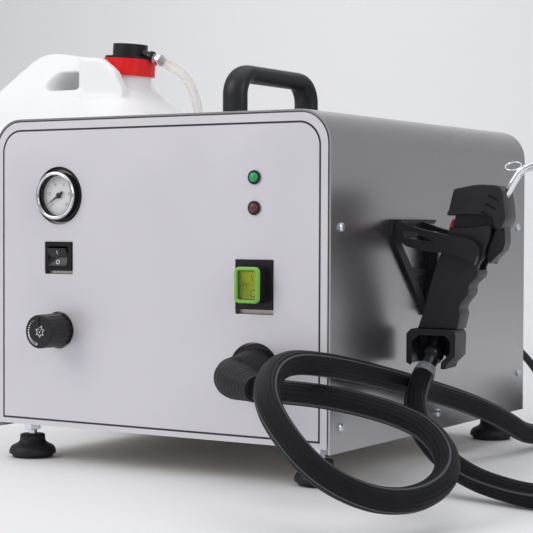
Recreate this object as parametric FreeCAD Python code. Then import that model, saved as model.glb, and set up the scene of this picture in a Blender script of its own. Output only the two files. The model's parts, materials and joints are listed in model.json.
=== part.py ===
import FreeCAD, Part
import math
import os

from FreeCAD import Vector as V

# Jewelry steam cleaner: bench steam generator with a steam gun and a water can.
# Working frame while drawing: X to the right along the front, Y to the back, Z up,
# zero at the front left bottom corner of the cabinet's footprint, on the table.
# Everything is moved by (OX, OY, 0) before it is written, so that the origin
# lies under the centre of the whole object's box, without the cords.
OX, OY = -92.9, -189.8

# ---- cabinet ----
W, D, ZT = 335.0, 378.5, 294.0      # width, depth, height of the cover's top
ZS, ZF = 27.4, 31.4                 # bottom edge of the cover's sides, of the fascia
RC = 27.0                           # outer radius of the cover's upper corners
T = 1.5                             # sheet thickness
# ---- fascia layout: two columns ----
XL, XR = 70.2, 266.3
Z_GAUGE, Z_SW, Z_KNOB = 228.2, 175.3, 114.0
Z_LAMP1, Z_LAMP2, Z_POWER, Z_OUT = 241.5, 217.4, 155.2, 87.8
R_GAUGE_CUT, R_KNOB_CUT, R_OUT_CUT = 24.5, 15.65, 23.75
GAUGE_R = 20.2
KNOB_R, KNOB_FRONT = 14.2, -27.0
# ---- feet ----
FEET = [(22.0, 23.6), (313.0, 23.6), (22.0, 354.9), (313.0, 354.9)]
FOOT_R, FOOT_H = 20.5, 20.0
# ---- handle ----
HX, HY0, HY1, HTOP = 167.5, 125.0, 249.0, 346.0
# ---- gun ----
GUN_X, GUN_Y, GUN_YAW = 378.0, 120.0, 8.0
# ---- water can ----
CAN_X0, CAN_X1, CAN_Y0, CAN_Y1 = -298.0, -24.0, 212.0, 448.0
CAP_X, CAP_Y, CAP_Z, CAP_TILT = -100.0, 330.0, 362.0, 4.0
CAN_SPLIT = 284.0
# ---- cords ----
HOSE_R, LEAD_R, WATER_R = 9.0, 3.75, 5.0

# route points of the steam hose, from the outlet elbow to the gun
HOSE = [
    (305.9, -60.1, 82.1), (323.1, -57.4, 80.9), (351.4, -47.0, 78.8), (378.9, -35.5, 73.6), (406.9, -28.2, 66.5),
    (434.3, -29.9, 57.1), (458.5, -48.0, 41.5), (470.0, -80.0, 29.0), (467.5, -116.0, 22.0), (455.5, -145.5, 24.0),
    (439.5, -165.5, 33.4), (421.8, -175.0, 46.2), (401.1, -175.1, 64.6), (376.3, -160.9, 85.0), (356.0, -123.7, 100.3),
    (349.9, -87.6, 106.6), (351.3, -43.6, 101.9), (351.5, 11.7, 92.6), (346.0, 95.0, 77.2), (349.5, 150.0, 64.8),
    (360.1, 197.5, 51.6), (371.7, 246.6, 33.6), (374.5, 298.0, 12.0), (392.3, 377.0, 9.4), (449.2, 444.0, 9.4),
    (528.0, 458.0, 9.4), (599.0, 405.4, 9.4), (638.0, 309.9, 9.4), (640.0, 200.0, 9.4), (625.0, 115.0, 9.4),
    (590.0, 50.0, 9.4), (545.0, 17.0, 9.4), (512.0, 10.0, 9.4), (491.7, 12.5, 9.4), (471.5, 20.0, 10.6),
    (447.5, 25.5, 14.4), (426.5, 30.5, 21.8), (407.5, 35.5, 33.2), (390.0, 46.5, 46.0), (376.0, 63.0, 58.0),
    (365.5, 86.5, 70.0), (364.2, 101.0, 82.0),
]
# route of the mains lead, from the cable gland to the coil
LEAD = [
    (300.0, 354.0, 88.0), (300.0, 380.0, 87.8), (300.2, 428.0, 87.0), (308.5, 455.0, 71.0), (320.0, 470.0, 49.0),
    (330.0, 480.0, 31.0), (336.5, 494.0, 20.5), (337.0, 512.0, 18.95),
]
COIL = (378.0, 514.0, 41.0, 15.0, 22.5)      # centre, middle radius, width and height of the put-away coil
PLUG_X = 402.0
# route of the clear water hose, from the can's plug to the rear inlet
WATER = [
    (-66.0, 330.0, 379.8), (-42.5, 330.0, 370.0), (-26.0, 330.0, 358.5), (-15.5, 330.2, 342.0), (-10.0, 331.0, 320.0),
    (-9.5, 336.0, 290.0), (-10.5, 350.0, 255.0), (-10.5, 376.0, 222.0), (-6.0, 407.0, 192.0), (8.0, 436.0, 164.0),
    (32.0, 451.0, 139.0), (53.0, 442.0, 123.5), (60.0, 417.0, 119.5), (60.0, 384.0, 120.0),
]

X, Y, Z = V(1, 0, 0), V(0, 1, 0), V(0, 0, 1)
os.makedirs("parts", exist_ok=True)
DONE = {}


def put(name, *shapes):
    s = shapes[0] if len(shapes) == 1 else Part.makeCompound(list(shapes))
    s = s.copy()
    s.translate(V(OX, OY, 0))
    solids = s.Solids
    if not solids:
        raise SystemExit("no solid in " + name)
    for q in solids:
        if not q.isValid() or q.Volume <= 0:
            print("CHECK", name, q.isValid(), q.Volume)
    s = solids[0] if len(solids) == 1 else Part.makeCompound(solids)
    s.exportStep("parts/%s.step" % name)
    DONE[name] = s


def box(x0, x1, y0, y1, z0, z1):
    return Part.makeBox(x1 - x0, y1 - y0, z1 - z0, V(x0, y0, z0))


def cyl(p, d, r, h):
    return Part.makeCylinder(r, h, V(*p), V(*d))


def ycyl(x, z, r, y0, y1):
    return Part.makeCylinder(r, y1 - y0, V(x, y0, z), Y)


def zcyl(x, y, r, z0, z1):
    return Part.makeCylinder(r, z1 - z0, V(x, y, z0), Z)


def xcyl(y, z, r, x0, x1):
    return Part.makeCylinder(r, x1 - x0, V(x0, y, z), X)


def ring_y(x, z, ro, ri, y0, y1):
    return ycyl(x, z, ro, y0, y1).cut(ycyl(x, z, ri, y0 - 1, y1 + 1))


def cone_y(x, z, r0, r1, y0, y1):
    return Part.makeCone(r0, r1, y1 - y0, V(x, y0, z), Y)


def ngon(cx, cz, af, y0, y1):
    r = af / 2 / math.cos(math.pi / 6)
    pts = [V(cx + r * math.cos(math.radians(60 * i)), y0, cz + r * math.sin(math.radians(60 * i))) for i in range(7)]
    return Part.Face(Part.makePolygon(pts)).extrude(V(0, y1 - y0, 0))


def hexz(cx, cy, af, z0, z1):
    r = af / 2 / math.cos(math.pi / 6)
    pts = [V(cx + r * math.cos(math.radians(60 * i)), cy + r * math.sin(math.radians(60 * i)), z0) for i in range(7)]
    return Part.Face(Part.makePolygon(pts)).extrude(V(0, 0, z1 - z0))


def arch(x0, x1, z0, z1, r, y0, y1):
    """plate in the XZ plane with its two upper corners rounded"""
    a, b = V(x0, y0, z0), V(x1, y0, z0)
    c = math.sqrt(0.5) * r
    e = [
        Part.LineSegment(a, b).toShape(),
        Part.LineSegment(b, V(x1, y0, z1 - r)).toShape(),
        Part.Arc(V(x1, y0, z1 - r), V(x1 - r + c, y0, z1 - r + c), V(x1 - r, y0, z1)).toShape(),
        Part.LineSegment(V(x1 - r, y0, z1), V(x0 + r, y0, z1)).toShape(),
        Part.Arc(V(x0 + r, y0, z1), V(x0 + r - c, y0, z1 - r + c), V(x0, y0, z1 - r)).toShape(),
        Part.LineSegment(V(x0, y0, z1 - r), a).toShape(),
    ]
    return Part.Face(Part.Wire(e)).extrude(V(0, y1 - y0, 0))


def prism(pts, n, plane="xz", at=0.0):
    """closed polygon in a plane, pushed along the plane's normal by n"""
    m = {"xz": lambda p: V(p[0], at, p[1]), "yz": lambda p: V(at, p[0], p[1]), "xy": lambda p: V(p[0], p[1], at)}[plane]
    d = {"xz": V(0, n, 0), "yz": V(n, 0, 0), "xy": V(0, 0, n)}[plane]
    q = [m(p) for p in pts]
    return Part.Face(Part.makePolygon(q + [q[0]])).extrude(d)


def route(points, radius, name):
    """tube along straight runs joined by tangent arcs, as wide as the runs allow"""
    P = [V(*p) for p in points]
    n = len(P)
    L = [(P[i + 1] - P[i]).Length for i in range(n - 1)]
    edges, cur, radii, total = [], P[0], [], 0.0
    for i in range(1, n - 1):
        a = (P[i] - P[i - 1]).normalize()
        b = (P[i + 1] - P[i]).normalize()
        turn = a.getAngle(b)
        r = 0.45 * min(L[i - 1], L[i]) / math.tan(turn / 2)
        t = r * math.tan(turn / 2)
        s, e = P[i] - a * t, P[i] + b * t
        bis = (b - a).normalize()
        mid = P[i] + bis * (r / math.cos(turn / 2) - r)
        if (s - cur).Length > 1e-4:
            edges.append(Part.LineSegment(cur, s).toShape())
            total += (s - cur).Length
        edges.append(Part.Arc(s, mid, e).toShape())
        total += r * turn
        radii.append(round(r, 0))
        cur = e
    edges.append(Part.LineSegment(cur, P[-1]).toShape())
    total += (P[-1] - cur).Length
    w = Part.Wire(edges)
    prof = Part.Wire([Part.Circle(P[0], (P[1] - P[0]).normalize(), radius).toShape()])
    tube = w.makePipeShell([prof], True, False)
    if not isinstance(tube, Part.Solid):
        tube = Part.Solid(Part.Shell(tube.Faces)) if not tube.Solids else tube.Solids[0]
    if tube.Volume < 0:
        tube.reverse()
    print(name, "length %.1f" % total, "runs over", round(sum(L), 1), "radii", radii,
          "volume ratio %.4f" % (tube.Volume / (math.pi * radius ** 2 * total)))
    return tube


# ======================= cabinet =======================
outer = arch(0, W, ZS, ZT, RC, 0.3, D)
inner = arch(T, W - T, ZS - 1, ZT - T, RC - T, 0.0, D + 1)
cover = outer.cut(inner)
SCREWS_R = [(16.3, 202.6), (362.2, 202.6), (16.3, 47.0), (189.8, 42.1), (366.1, 63.4)]
for (y, z) in SCREWS_R:
    cover = cover.cut(xcyl(y, z, 2.2, -1, 4)).cut(xcyl(y, z, 2.2, W - 4, W + 1))
for y in (HY0, HY1):
    cover = cover.cut(zcyl(HX, y, 4.2, ZT - 4, ZT + 1))
BR_HOLES = [(104.0, 202.5), (166.0, 202.5), (166.0, 136.0)]   # holder screws on the right wall (Y, Z)
for (y, z) in BR_HOLES:
    cover = cover.cut(xcyl(y, z, 2.2, W - 4, W + 1))
put("cover_shell", cover)

fascia = arch(2.7, W - 2.7, ZF, ZT - 2.7, RC - 2.7, 0.0, 1.5)
SW_CUT = (XL - 14.95, XL + 14.95, Z_SW - 13.7, Z_SW + 13.7)
PW_CUT = (XR - 17.7, XR + 17.7, Z_POWER - 21.6, Z_POWER + 21.6)
for s in (
    ycyl(XL, Z_GAUGE, R_GAUGE_CUT, -1, 3), ycyl(XL, Z_KNOB, R_KNOB_CUT, -1, 3),
    ycyl(XR, Z_OUT, R_OUT_CUT, -1, 3), ycyl(XR, Z_LAMP1, 4.7, -1, 3), ycyl(XR, Z_LAMP2, 4.7, -1, 3),
    box(SW_CUT[0], SW_CUT[1], -1, 3, SW_CUT[2], SW_CUT[3]),
    box(PW_CUT[0], PW_CUT[1], -1, 3, PW_CUT[2], PW_CUT[3]),
):
    fascia = fascia.cut(s)
put("front_fascia", fascia)

# chassis plate behind the fascia, with four spacer bosses and two side flanges
chas = arch(1.55, W - 1.55, ZF, ZT - 1.55, RC - 1.55, 5.0, 6.5)
for (x, z) in ((20, 270), (315, 270), (20, 50), (315, 50)):
    chas = chas.fuse(ycyl(x, z, 5, 1.5, 5.2))
chas = chas.fuse(box(1.55, 3.05, 6.4, 26, 36, 262)).fuse(box(W - 3.05, W - 1.55, 6.4, 26, 36, 262))
SWX, SWZ = 14.2, 12.2
PWX, PWZ, PZC = 17.2, 19.6, Z_POWER + 1.8
for s in (
    ycyl(XL, Z_GAUGE, 19.6, 4, 8), ycyl(XL, Z_KNOB, 6.1, 4, 8), ycyl(XR, Z_OUT, 12.1, 4, 8),
    ycyl(XR, Z_LAMP1, 4.7, 4, 8), ycyl(XR, Z_LAMP2, 4.7, 4, 8),
    box(XL - 13.05, XL + 13.05, 4, 8, Z_SW + 1.3 - 11.05, Z_SW + 1.3 + 11.05),
    box(XR - 15.05, XR + 15.05, 4, 8, PZC - 17.05, PZC + 17.05),
):
    chas = chas.cut(s)
for (y, z) in SCREWS_R:
    if y < 30:
        chas = chas.cut(xcyl(y, z, 1.9, 0, 5)).cut(xcyl(y, z, 1.9, W - 5, W))
put("front_chassis_plate", chas)

tray = box(1.55, W - 1.55, 6.6, D - 3.1, ZF, ZF + 2)
tray = tray.fuse(box(1.55, 3.05, 27, 352, ZF + 1, 72)).fuse(box(W - 3.05, W - 1.55, 27, 352, ZF + 1, 72))
for (x, y) in FEET:
    tray = tray.cut(zcyl(x, y, 4.2, 20, 40))
for (y, z) in SCREWS_R:
    if 30 < y < 350:
        tray = tray.cut(xcyl(y, z, 1.9, 0, 5)).cut(xcyl(y, z, 1.9, W - 5, W))
put("base_tray", tray)

rear = arch(1.55, W - 1.55, ZF, ZT - 1.55, RC - 1.55, D - 3.0, D - 1.5)
rear = rear.fuse(box(1.55, 3.05, 353, D - 2.9, 36, 262)).fuse(box(W - 3.05, W - 1.55, 353, D - 2.9, 36, 262))
INLET = (60.0, 120.0)
GLAND = (300.0, 88.0)
rear = rear.cut(ycyl(INLET[0], INLET[1], 7.1, D - 5, D)).cut(ycyl(GLAND[0], GLAND[1], 8.1, D - 5, D))
for i in range(9):
    rear = rear.cut(box(110 + i * 14, 114 + i * 14, D - 5, D, 205, 255))
for (y, z) in SCREWS_R:
    if y > 350:
        rear = rear.cut(xcyl(y, z, 1.9, 0, 5)).cut(xcyl(y, z, 1.9, W - 5, W))
put("rear_panel", rear)


def panhead(p, d, shank=6.0, r=3.6):
    p, d = V(*p), V(*d)
    head = Part.makeCylinder(r, 1.2, p, d).fuse(Part.makeCone(r, r * 0.62, 1.2, p + d * 1.2, d))
    head = head.fuse(Part.makeCylinder(1.85, shank, p - d * shank, d))
    a = 0.5
    n = X if abs(d.x) < 0.5 else Y
    slot = Part.makeBox(5.0, 5.0, 1.0)
    return head


scr = []
for (y, z) in SCREWS_R:
    scr.append(panhead((W, y, z), (1, 0, 0)))
    scr.append(panhead((0, y, z), (-1, 0, 0)))
CASE_SCREWS = scr

# ---- feet ----
feet, studs, nuts = [], [], []
for (x, y) in FEET:
    prof = [(0, 0), (FOOT_R - 1, 0), (FOOT_R, 1.2), (FOOT_R, 5.0), (FOOT_R - 2.2, 7.2), (15.0, 9.5), (12.6, 13.0), (11.8, 17.0), (10.6, FOOT_H), (0, FOOT_H)]
    f = Part.Face(Part.makePolygon([V(x + a, y, b) for a, b in prof] + [V(x, y, 0)])).revolve(V(x, y, 0), Z, 360)
    f = f.cut(zcyl(x, y, 4.05, 8, 30))
    feet.append(f)
    studs.append(zcyl(x, y, 4.0, 8.0, 44.0))
    nuts.append(hexz(x, y, 13.0, 24.0, 29.6).cut(zcyl(x, y, 4.05, 20, 50)))
    nuts.append(zcyl(x, y, 8.0, 29.7, 31.3).cut(zcyl(x, y, 4.05, 20, 50)))
    nuts.append(hexz(x, y, 13.0, ZF + 2.05, ZF + 7.5).cut(zcyl(x, y, 4.05, 20, 50)))
put("rubber_feet", *feet)
put("foot_studs", *studs)
put("foot_locknuts", *nuts)

# ---- bow handle: oval tube, two bends ----
r = 20.0
zt = HTOP - 8.0
c = math.sqrt(0.5) * r
pts = [V(0, HY0, ZT), V(0, HY0, zt - r), V(0, HY0 + r - c, zt - r + c), V(0, HY0 + r, zt), V(0, HY1 - r, zt), V(0, HY1 - r + c, zt - r + c), V(0, HY1, zt - r), V(0, HY1, ZT)]
hw = Part.Wire([
    Part.LineSegment(pts[0], pts[1]).toShape(), Part.Arc(pts[1], pts[2], pts[3]).toShape(),
    Part.LineSegment(pts[3], pts[4]).toShape(), Part.Arc(pts[4], pts[5], pts[6]).toShape(),
    Part.LineSegment(pts[6], pts[7]).toShape()])
hp = Part.Wire([Part.Circle(pts[0], Z, 8.0).toShape()])
tube = hw.makePipeShell([hp], True, False)
m = FreeCAD.Matrix()
m.scale(1.5, 1, 1)
tube = tube.transformGeometry(m)
tube.translate(V(HX, 0, 0))
hs = tube if isinstance(tube, Part.Solid) else (tube.Solids[0] if tube.Solids else Part.Solid(tube))
for y in (HY0, HY1):
    hs = hs.cut(zcyl(HX, y, 4.05, ZT - 1, ZT + 22))
put("top_handle", hs)
put("handle_bolts", *[zcyl(HX, y, 4.0, ZT - 8, ZT + 20).fuse(zcyl(HX, y, 9.0, ZT - T - 2.0, ZT - T - 0.05)).fuse(hexz(HX, y, 13, ZT - T - 8, ZT - T - 2.0)) for y in (HY0, HY1)])

# ======================= pressure gauge =======================
case = ycyl(XL, Z_GAUGE, 19.5, -3.4, 30).cut(ycyl(XL, Z_GAUGE, 18.0, -5, 28.5))
case = case.fuse(ring_y(XL, Z_GAUGE, 20.1, 19.0, 2.0, 4.95)).fuse(ngon(XL, Z_GAUGE, 12, 29.9, 44))
put("gauge_case", case)
bez = ring_y(XL, Z_GAUGE, GAUGE_R, 19.55, -5.0, 1.9).fuse(ring_y(XL, Z_GAUGE, GAUGE_R, 17.6, -6.5, -5.0))
put("gauge_bezel", bez)
put("gauge_lens", ycyl(XL, Z_GAUGE, 19.45, -4.95, -3.45))
put("gauge_dial", ycyl(XL, Z_GAUGE, 17.95, 1.0, 2.0).fuse(ycyl(XL, Z_GAUGE, 0.7, -1.8, 1.5)))
ND = math.radians(213.0)
nd = V(math.cos(ND), 0, math.sin(ND))
nn = V(-math.sin(ND), 0, math.cos(ND))
o = V(XL, -0.9, Z_GAUGE)
npts = [o + nd * 13.2 + nn * 0.25, o + nd * 0 + nn * 1.0, o - nd * 5.5 + nn * 1.0, o - nd * 5.5 - nn * 1.0, o - nn * 1.0, o + nd * 13.2 - nn * 0.25]
needle = Part.Face(Part.makePolygon(npts + [npts[0]])).extrude(V(0, 0.5, 0)).fuse(ycyl(XL, Z_GAUGE, 2.3, -1.5, 0.2)).cut(ycyl(XL, Z_GAUGE, 0.75, -5, 5))
put("gauge_needle", needle)

# ======================= switches =======================
zc = Z_SW + 1.3
body = box(XL - SWX, XL + SWX, -1.0, 4.9, zc - SWZ, zc + SWZ).fuse(box(XL - 13, XL + 13, 4.8, 28, zc - 11, zc + 11))
body = body.cut(box(XL - 10.3, XL + 10.3, -2, 15, zc - 8.6, zc + 8.6))
for k in (-6, 6):
    body = body.fuse(box(XL - 2.5, XL + 2.5, 27.9, 36, zc + k - 0.4, zc + k + 0.4))
body = body.cut(xcyl(2.5, zc, 1.25, XL - 12, XL + 12))
put("hot_water_switch_body", body)


def rocker(xc, zc, yp, half_w, half_h, rise, tilt):
    p = [(-rise, half_h), (-0.45 * rise, 0.0), (-rise, -half_h), (1.5, -half_h + 2.0), (4.5, 0.0), (1.5, half_h - 2.0)]
    s = prism([(yp + a, zc + b) for a, b in p], 2 * half_w, "yz", xc - half_w)
    s = s.fuse(xcyl(yp, zc, 1.2, xc - half_w - 1.5, xc + half_w + 1.5))
    s.rotate(V(xc, yp, zc), X, tilt)
    return s


SW_PIV, PW_PIV = 2.5, 3.5
TILT = 8.0
put("hot_water_rocker", rocker(XL, zc, SW_PIV, 10.0, 7.9, 5.6, TILT))

body = box(XR - PWX, XR + PWX, -1.0, 4.9, PZC - PWZ, PZC + PWZ).fuse(box(XR - 15, XR + 15, 4.8, 35, PZC - 17, PZC + 17))
body = body.cut(box(XR - 10.3, XR + 10.3, -2, 17, PZC - 12.9, PZC + 12.9))
for k in (-9, 0, 9):
    body = body.fuse(box(XR - 3.2, XR + 3.2, 34.9, 44, PZC + k - 0.4, PZC + k + 0.4))
body = body.cut(xcyl(3.5, PZC, 1.25, XR - 11.6, XR + 11.6))
put("power_switch_body", body)
put("power_rocker", rocker(XR, PZC, PW_PIV, 9.6, 11.9, 8.0, TILT))
boot = box(XR - 11.6, XR + 11.6, -13.0, -1.05, PZC - 14.7, PZC + 14.7)
boot = boot.makeFillet(1.5, [e for e in boot.Edges if e.BoundBox.YMax < -12.9 or e.BoundBox.YLength > 10])
boot = boot.cut(box(XR - 10.2, XR + 10.2, -11.9, 0, PZC - 13.3, PZC + 13.3))
put("power_switch_boot", boot)

# ======================= regulator =======================
valve = ycyl(XL, Z_KNOB, 4.0, -18, 6.6).fuse(ycyl(XL, Z_KNOB, 6.0, 2.5, 14)).fuse(ngon(XL, Z_KNOB, 15, 2.4, 4.95)).fuse(box(XL - 13, XL + 13, 6.55, 40, Z_KNOB - 13, Z_KNOB + 13))
valve = valve.fuse(xcyl(25, Z_KNOB, 6, XL + 12.9, XL + 28)).fuse(zcyl(XL, 27, 6, Z_KNOB + 12.9, Z_KNOB + 28))
put("regulator_valve", valve)
knob = ycyl(XL, Z_KNOB, KNOB_R, KNOB_FRONT, 0.5)
knob = knob.makeFillet(1.4, [e for e in knob.Edges if abs(e.BoundBox.YMax - KNOB_FRONT) < 0.01 and e.BoundBox.YLength < 0.01])
for i in range(18):
    a = math.radians(20 * i)
    knob = knob.cut(ycyl(XL + 15.0 * math.cos(a), Z_KNOB + 15.0 * math.sin(a), 1.35, -24.0, 2))
knob = knob.cut(ycyl(XL, Z_KNOB, 4.05, -18.6, 3)).cut(ycyl(XL, Z_KNOB, 9.6, -8.0, 3))
knob = knob.fuse(box(XL - 0.9, XL + 0.9, KNOB_FRONT - 0.8, KNOB_FRONT + 0.5, Z_KNOB + 3, Z_KNOB + 12))
put("regulator_knob", knob)

# ======================= lamps =======================
hold = []
for z in (Z_LAMP1, Z_LAMP2):
    hold.append(ring_y(XR, z, 5.6, 4.0, -1.6, -0.05).fuse(ring_y(XR, z, 4.65, 4.0, -0.2, 22)).fuse(ring_y(XR, z, 7.5, 4.0, 6.6, 10.5)))
put("lamp_holders", *hold)


def lamp(z):
    p = [(0, 14.0), (3.95, 14.0), (3.95, -1.6), (3.7, -2.4), (3.1, -3.0), (2.2, -3.45), (1.1, -3.7), (0, -3.75)]
    q = Part.Face(Part.makePolygon([V(a, b, 0) for a, b in p] + [V(0, 14.0, 0)])).revolve(V(0, 0, 0), Y, 360)
    q = q.Solids[0] if q.Solids else Part.Solid(q)
    q.translate(V(XR, 0, z))
    return q


put("lamp_ready", lamp(Z_LAMP1))
put("lamp_water", lamp(Z_LAMP2))

# ======================= hose outlet =======================
fit = ycyl(XR, Z_OUT, 22.6, 1.6, 4.95).fuse(ycyl(XR, Z_OUT, 12.0, 4.9, 30)).fuse(ngon(XR, Z_OUT, 32, 6.6, 14))
fit = fit.fuse(ycyl(XR, Z_OUT, 8.0, 29.9, 52))
put("outlet_fitting", fit)
E0 = V(266.3, -37.0, 87.3)
E1 = V(305.9, -60.1, 82.1)
elb = cone_y(XR, Z_OUT - 0.3, 14.2, 19.5, -37.0, 1.5).fuse(Part.makeSphere(14.2, E0))
dd = E1 - E0
elb = elb.fuse(Part.makeCone(13.6, 9.6, dd.Length, E0, dd))
put("outlet_elbow", elb)

# ======================= gun holder =======================
ZB0 = 128.0
plate = prism([(95, 196), (98, 209), (172.5, 209), (172.5, ZB0), (158, ZB0)], 3.5, "yz", W + 0.05)
win1 = prism([(107, 195), (160, 195), (160, 168), (133.5, 168)], 20, "yz", W - 5)
win2 = prism([(137.5, 162), (160, 162), (160, 139.5), (159.3, 139.5)], 20, "yz", W - 5)
plate = plate.cut(win1).cut(win2)
rib = prism([(161.5, 202), (165.5, 202), (165.5, 132), (161.5, 132)], 9.0, "yz", W + 3.5)
rib = rib.cut(box(W + 3, W + 20, 160, 167, 197.5, 207.5))
ledge = box(W + 3.5, W + 9.0, 100, 166, 205.5, 208.8)
armp = [(W + 3.5, 194.2), (W + 3.5, 205.0), (341, 208.3), (357, 202.6), (367, 200.1), (385.5, 196.6), (399.5, 195.2), (408.4, 192.1), (412.7, 187.7), (412.0, 180.0), (409.4, 173.0), (406.5, 175.6), (396.0, 179.9), (385.6, 182.0), (367.2, 183.1), (350.0, 187.0)]
near = prism(armp, 5.0, "xz", 99.0)
far = prism(armp, 5.0, "xz", 140.2)
slot = prism([(346.6, 198.6), (350, 199.6), (356.5, 199.0), (372.6, 191.6), (371, 191.0), (356.5, 192.4), (350.5, 193.6), (347.0, 195.8)], 60, "xz", 90)
hold_b = plate.fuse(near).fuse(far).fuse(box(W + 3.5, W + 9.0, 103.9, 140.3, 195, 205.6)).fuse(ledge).fuse(rib).cut(slot)
for (y, z) in BR_HOLES:
    hold_b = hold_b.cut(xcyl(y, z, 2.2, W - 1, W + 8)).cut(xcyl(y, z, 4.4, W + 3.5, W + 20))
put("gun_holder", hold_b)
put("case_screws", *(CASE_SCREWS + [panhead((W + 3.55, y, z), (1, 0, 0), 9.0) for (y, z) in BR_HOLES]))

# ======================= inside the cabinet =======================
BX, BY, BZ, BR, BL = 175.0, 225.0, 150.0, 62.0, 200.0     # boiler: lying cylinder along Y

def dished(rad, y0, y1, d):
    """lying vessel with drawn-in ends, turned about its own axis"""
    p = [(0, y0), (rad * 0.62, y0), (rad * 0.9, y0 + d * 0.4), (rad, y0 + d), (rad, y1 - d), (rad * 0.9, y1 - d * 0.4), (rad * 0.62, y1), (0, y1)]
    q = Part.Face(Part.makePolygon([V(a, b, 0) for a, b in p] + [V(0, y0, 0)])).revolve(V(0, 0, 0), Y, 360)
    q.translate(V(BX, 0, BZ))
    return q.Solids[0] if q.Solids else Part.Solid(q)


ves = dished(BR, BY - BL / 2, BY + BL / 2, 15.0)
ves = ves.cut(dished(BR - 3, BY - BL / 2 + 3, BY + BL / 2 - 3, 15.0))
ves = ves.cut(zcyl(BX, BY, 6.05, BZ, BZ + 90)).cut(zcyl(BX, BY + 50, 6.05, BZ, BZ + 90)).cut(zcyl(BX, BY - 50, 6.05, BZ, BZ + 90))
ves = ves.cut(ycyl(BX, BZ - 25, 12.05, 100, BY - 60))
put("boiler_vessel", ves)
heat = ycyl(BX, BZ - 25, 12.0, 112, BY - BL / 2 + 40)
heat = heat.fuse(ycyl(BX - 7, BZ - 25, 4, BY - BL / 2 + 39, BY + 60)).fuse(ycyl(BX + 7, BZ - 25, 4, BY - BL / 2 + 39, BY + 60))
put("boiler_heater", heat)
brk = []
for y in (BY - 55, BY + 40):
    b = box(BX - 55, BX + 55, y, y + 15, ZF + 2.05, BZ - 20).cut(Part.makeCylinder(BR + 0.2, 40, V(BX, y - 10, BZ), Y))
    b = b.cut(box(BX - 30, BX + 30, y - 1, y + 16, ZF + 5, BZ - BR - 8))
    brk.append(b)
put("boiler_brackets", *brk)
sv = zcyl(BX, BY + 50, 6.0, BZ + 55, BZ + 72).fuse(hexz(BX, BY + 50, 20, BZ + 72, BZ + 82)).fuse(zcyl(BX, BY + 50, 9, BZ + 82, BZ + 108))
put("safety_valve", sv)
ps = zcyl(BX, BY - 50, 6.0, BZ + 55, BZ + 72).fuse(zcyl(BX, BY - 50, 16, BZ + 72, BZ + 108))
put("pressure_switch", ps)
sol = zcyl(BX, BY, 6.0, BZ + 55, BZ + 72).fuse(box(BX - 14, BX + 14, BY - 14, BY + 14, BZ + 72, BZ + 96)).fuse(zcyl(BX, BY, 11, BZ + 96, BZ + 126))
sol = sol.fuse(xcyl(BY, BZ + 84, 5, BX + 13.9, BX + 24))
put("steam_solenoid", sol)
pipe = route([(BX + 24.05, BY, BZ + 84), (BX + 45, BY, BZ + 84), (BX + 85, BY - 8, BZ + 66), (BX + 92, BY - 70, BZ - 10), (XR, 120, Z_OUT + 14), (XR, 82, Z_OUT), (XR, 52.05, Z_OUT)], 4.0, "steam_pipe")
put("steam_pipe", pipe)
pump = box(25, 75, 200, 260, ZF + 2.05, 62).fuse(Part.makeCylinder(21, 90, V(50, 185, 83), Y)).fuse(box(38, 62, 205, 255, 61, 70))
pump = pump.fuse(Part.makeCylinder(4, 20, V(50, 274.9, 83), Y))
put("water_pump", pump)
pcb = box(12, 14, 60, 170, 95, 200)
for (y0, y1, z0, z1, h) in ((70, 95, 110, 135, 16), (105, 130, 110, 135, 16), (70, 160, 180, 195, 12), (120, 160, 140, 170, 22)):
    pcb = pcb.fuse(box(13.9, 13.9 + h, y0, y1, z0, z1))
for (y, z) in ((64, 99), (64, 196), (166, 99), (166, 196)):
    pcb = pcb.fuse(xcyl(y, z, 3, 1.55, 12.1))
put("control_board", pcb)
inl = ycyl(INLET[0], INLET[1], 7.0, D - 20, D - 1.4).fuse(ngon(INLET[0], INLET[1], 19, D - 1.45, D + 4)).fuse(ngon(INLET[0], INLET[1], 19, D - 9, D - 3.05)).fuse(ycyl(INLET[0], INLET[1], 2.9, D + 3.9, D + 18))
for i in range(3):
    inl = inl.fuse(cone_y(INLET[0], INLET[1], 3.5, 2.9, D + 7 + 3.5 * i, D + 10 + 3.5 * i))
put("water_inlet_barb", inl)
gl = ycyl(GLAND[0], GLAND[1], 8.0, D - 14, D - 1.4).fuse(ngon(GLAND[0], GLAND[1], 19, D - 1.45, D + 5)).fuse(ngon(GLAND[0], GLAND[1], 19, D - 9, D - 3.05))
gl = gl.fuse(cone_y(GLAND[0], GLAND[1], 8.0, 4.6, D + 4.9, D + 34)).cut(ycyl(GLAND[0], GLAND[1], LEAD_R + 0.02, D - 30, D + 40))
put("mains_gland", gl)

# ======================= steam gun, drawn in its own frame =======================
# u: nozzle side, c: thickness, z: up; turned by GUN_YAW and set at (GUN_X, GUN_Y)


def gun(s):
    s = s.copy()
    s.rotate(V(0, 0, 0), Z, GUN_YAW)
    s.translate(V(GUN_X, GUN_Y, 0))
    return s


def gp(u, c, z):
    a = math.radians(GUN_YAW)
    return V(GUN_X + u * math.cos(a) - c * math.sin(a), GUN_Y + u * math.sin(a) + c * math.cos(a), z)


PIPE = [(-10.5, 0, 112.0), (-4.5, 0, 134), (4.0, 0, 160), (14.0, 0, 190), (28.0, 0, 214), (46.0, 0, 226.0), (53.5, 0, 240), (60.0, 0, 249.5), (74, 0, 253.0), (90, 0, 251.5), (106, 0, 248.0)]


def gun_pipe(radius, extra=0.0):
    pts = [V(*p) for p in PIPE]
    return pts


def soft_path(points, radius, name):
    return route(points, radius, name)


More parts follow.
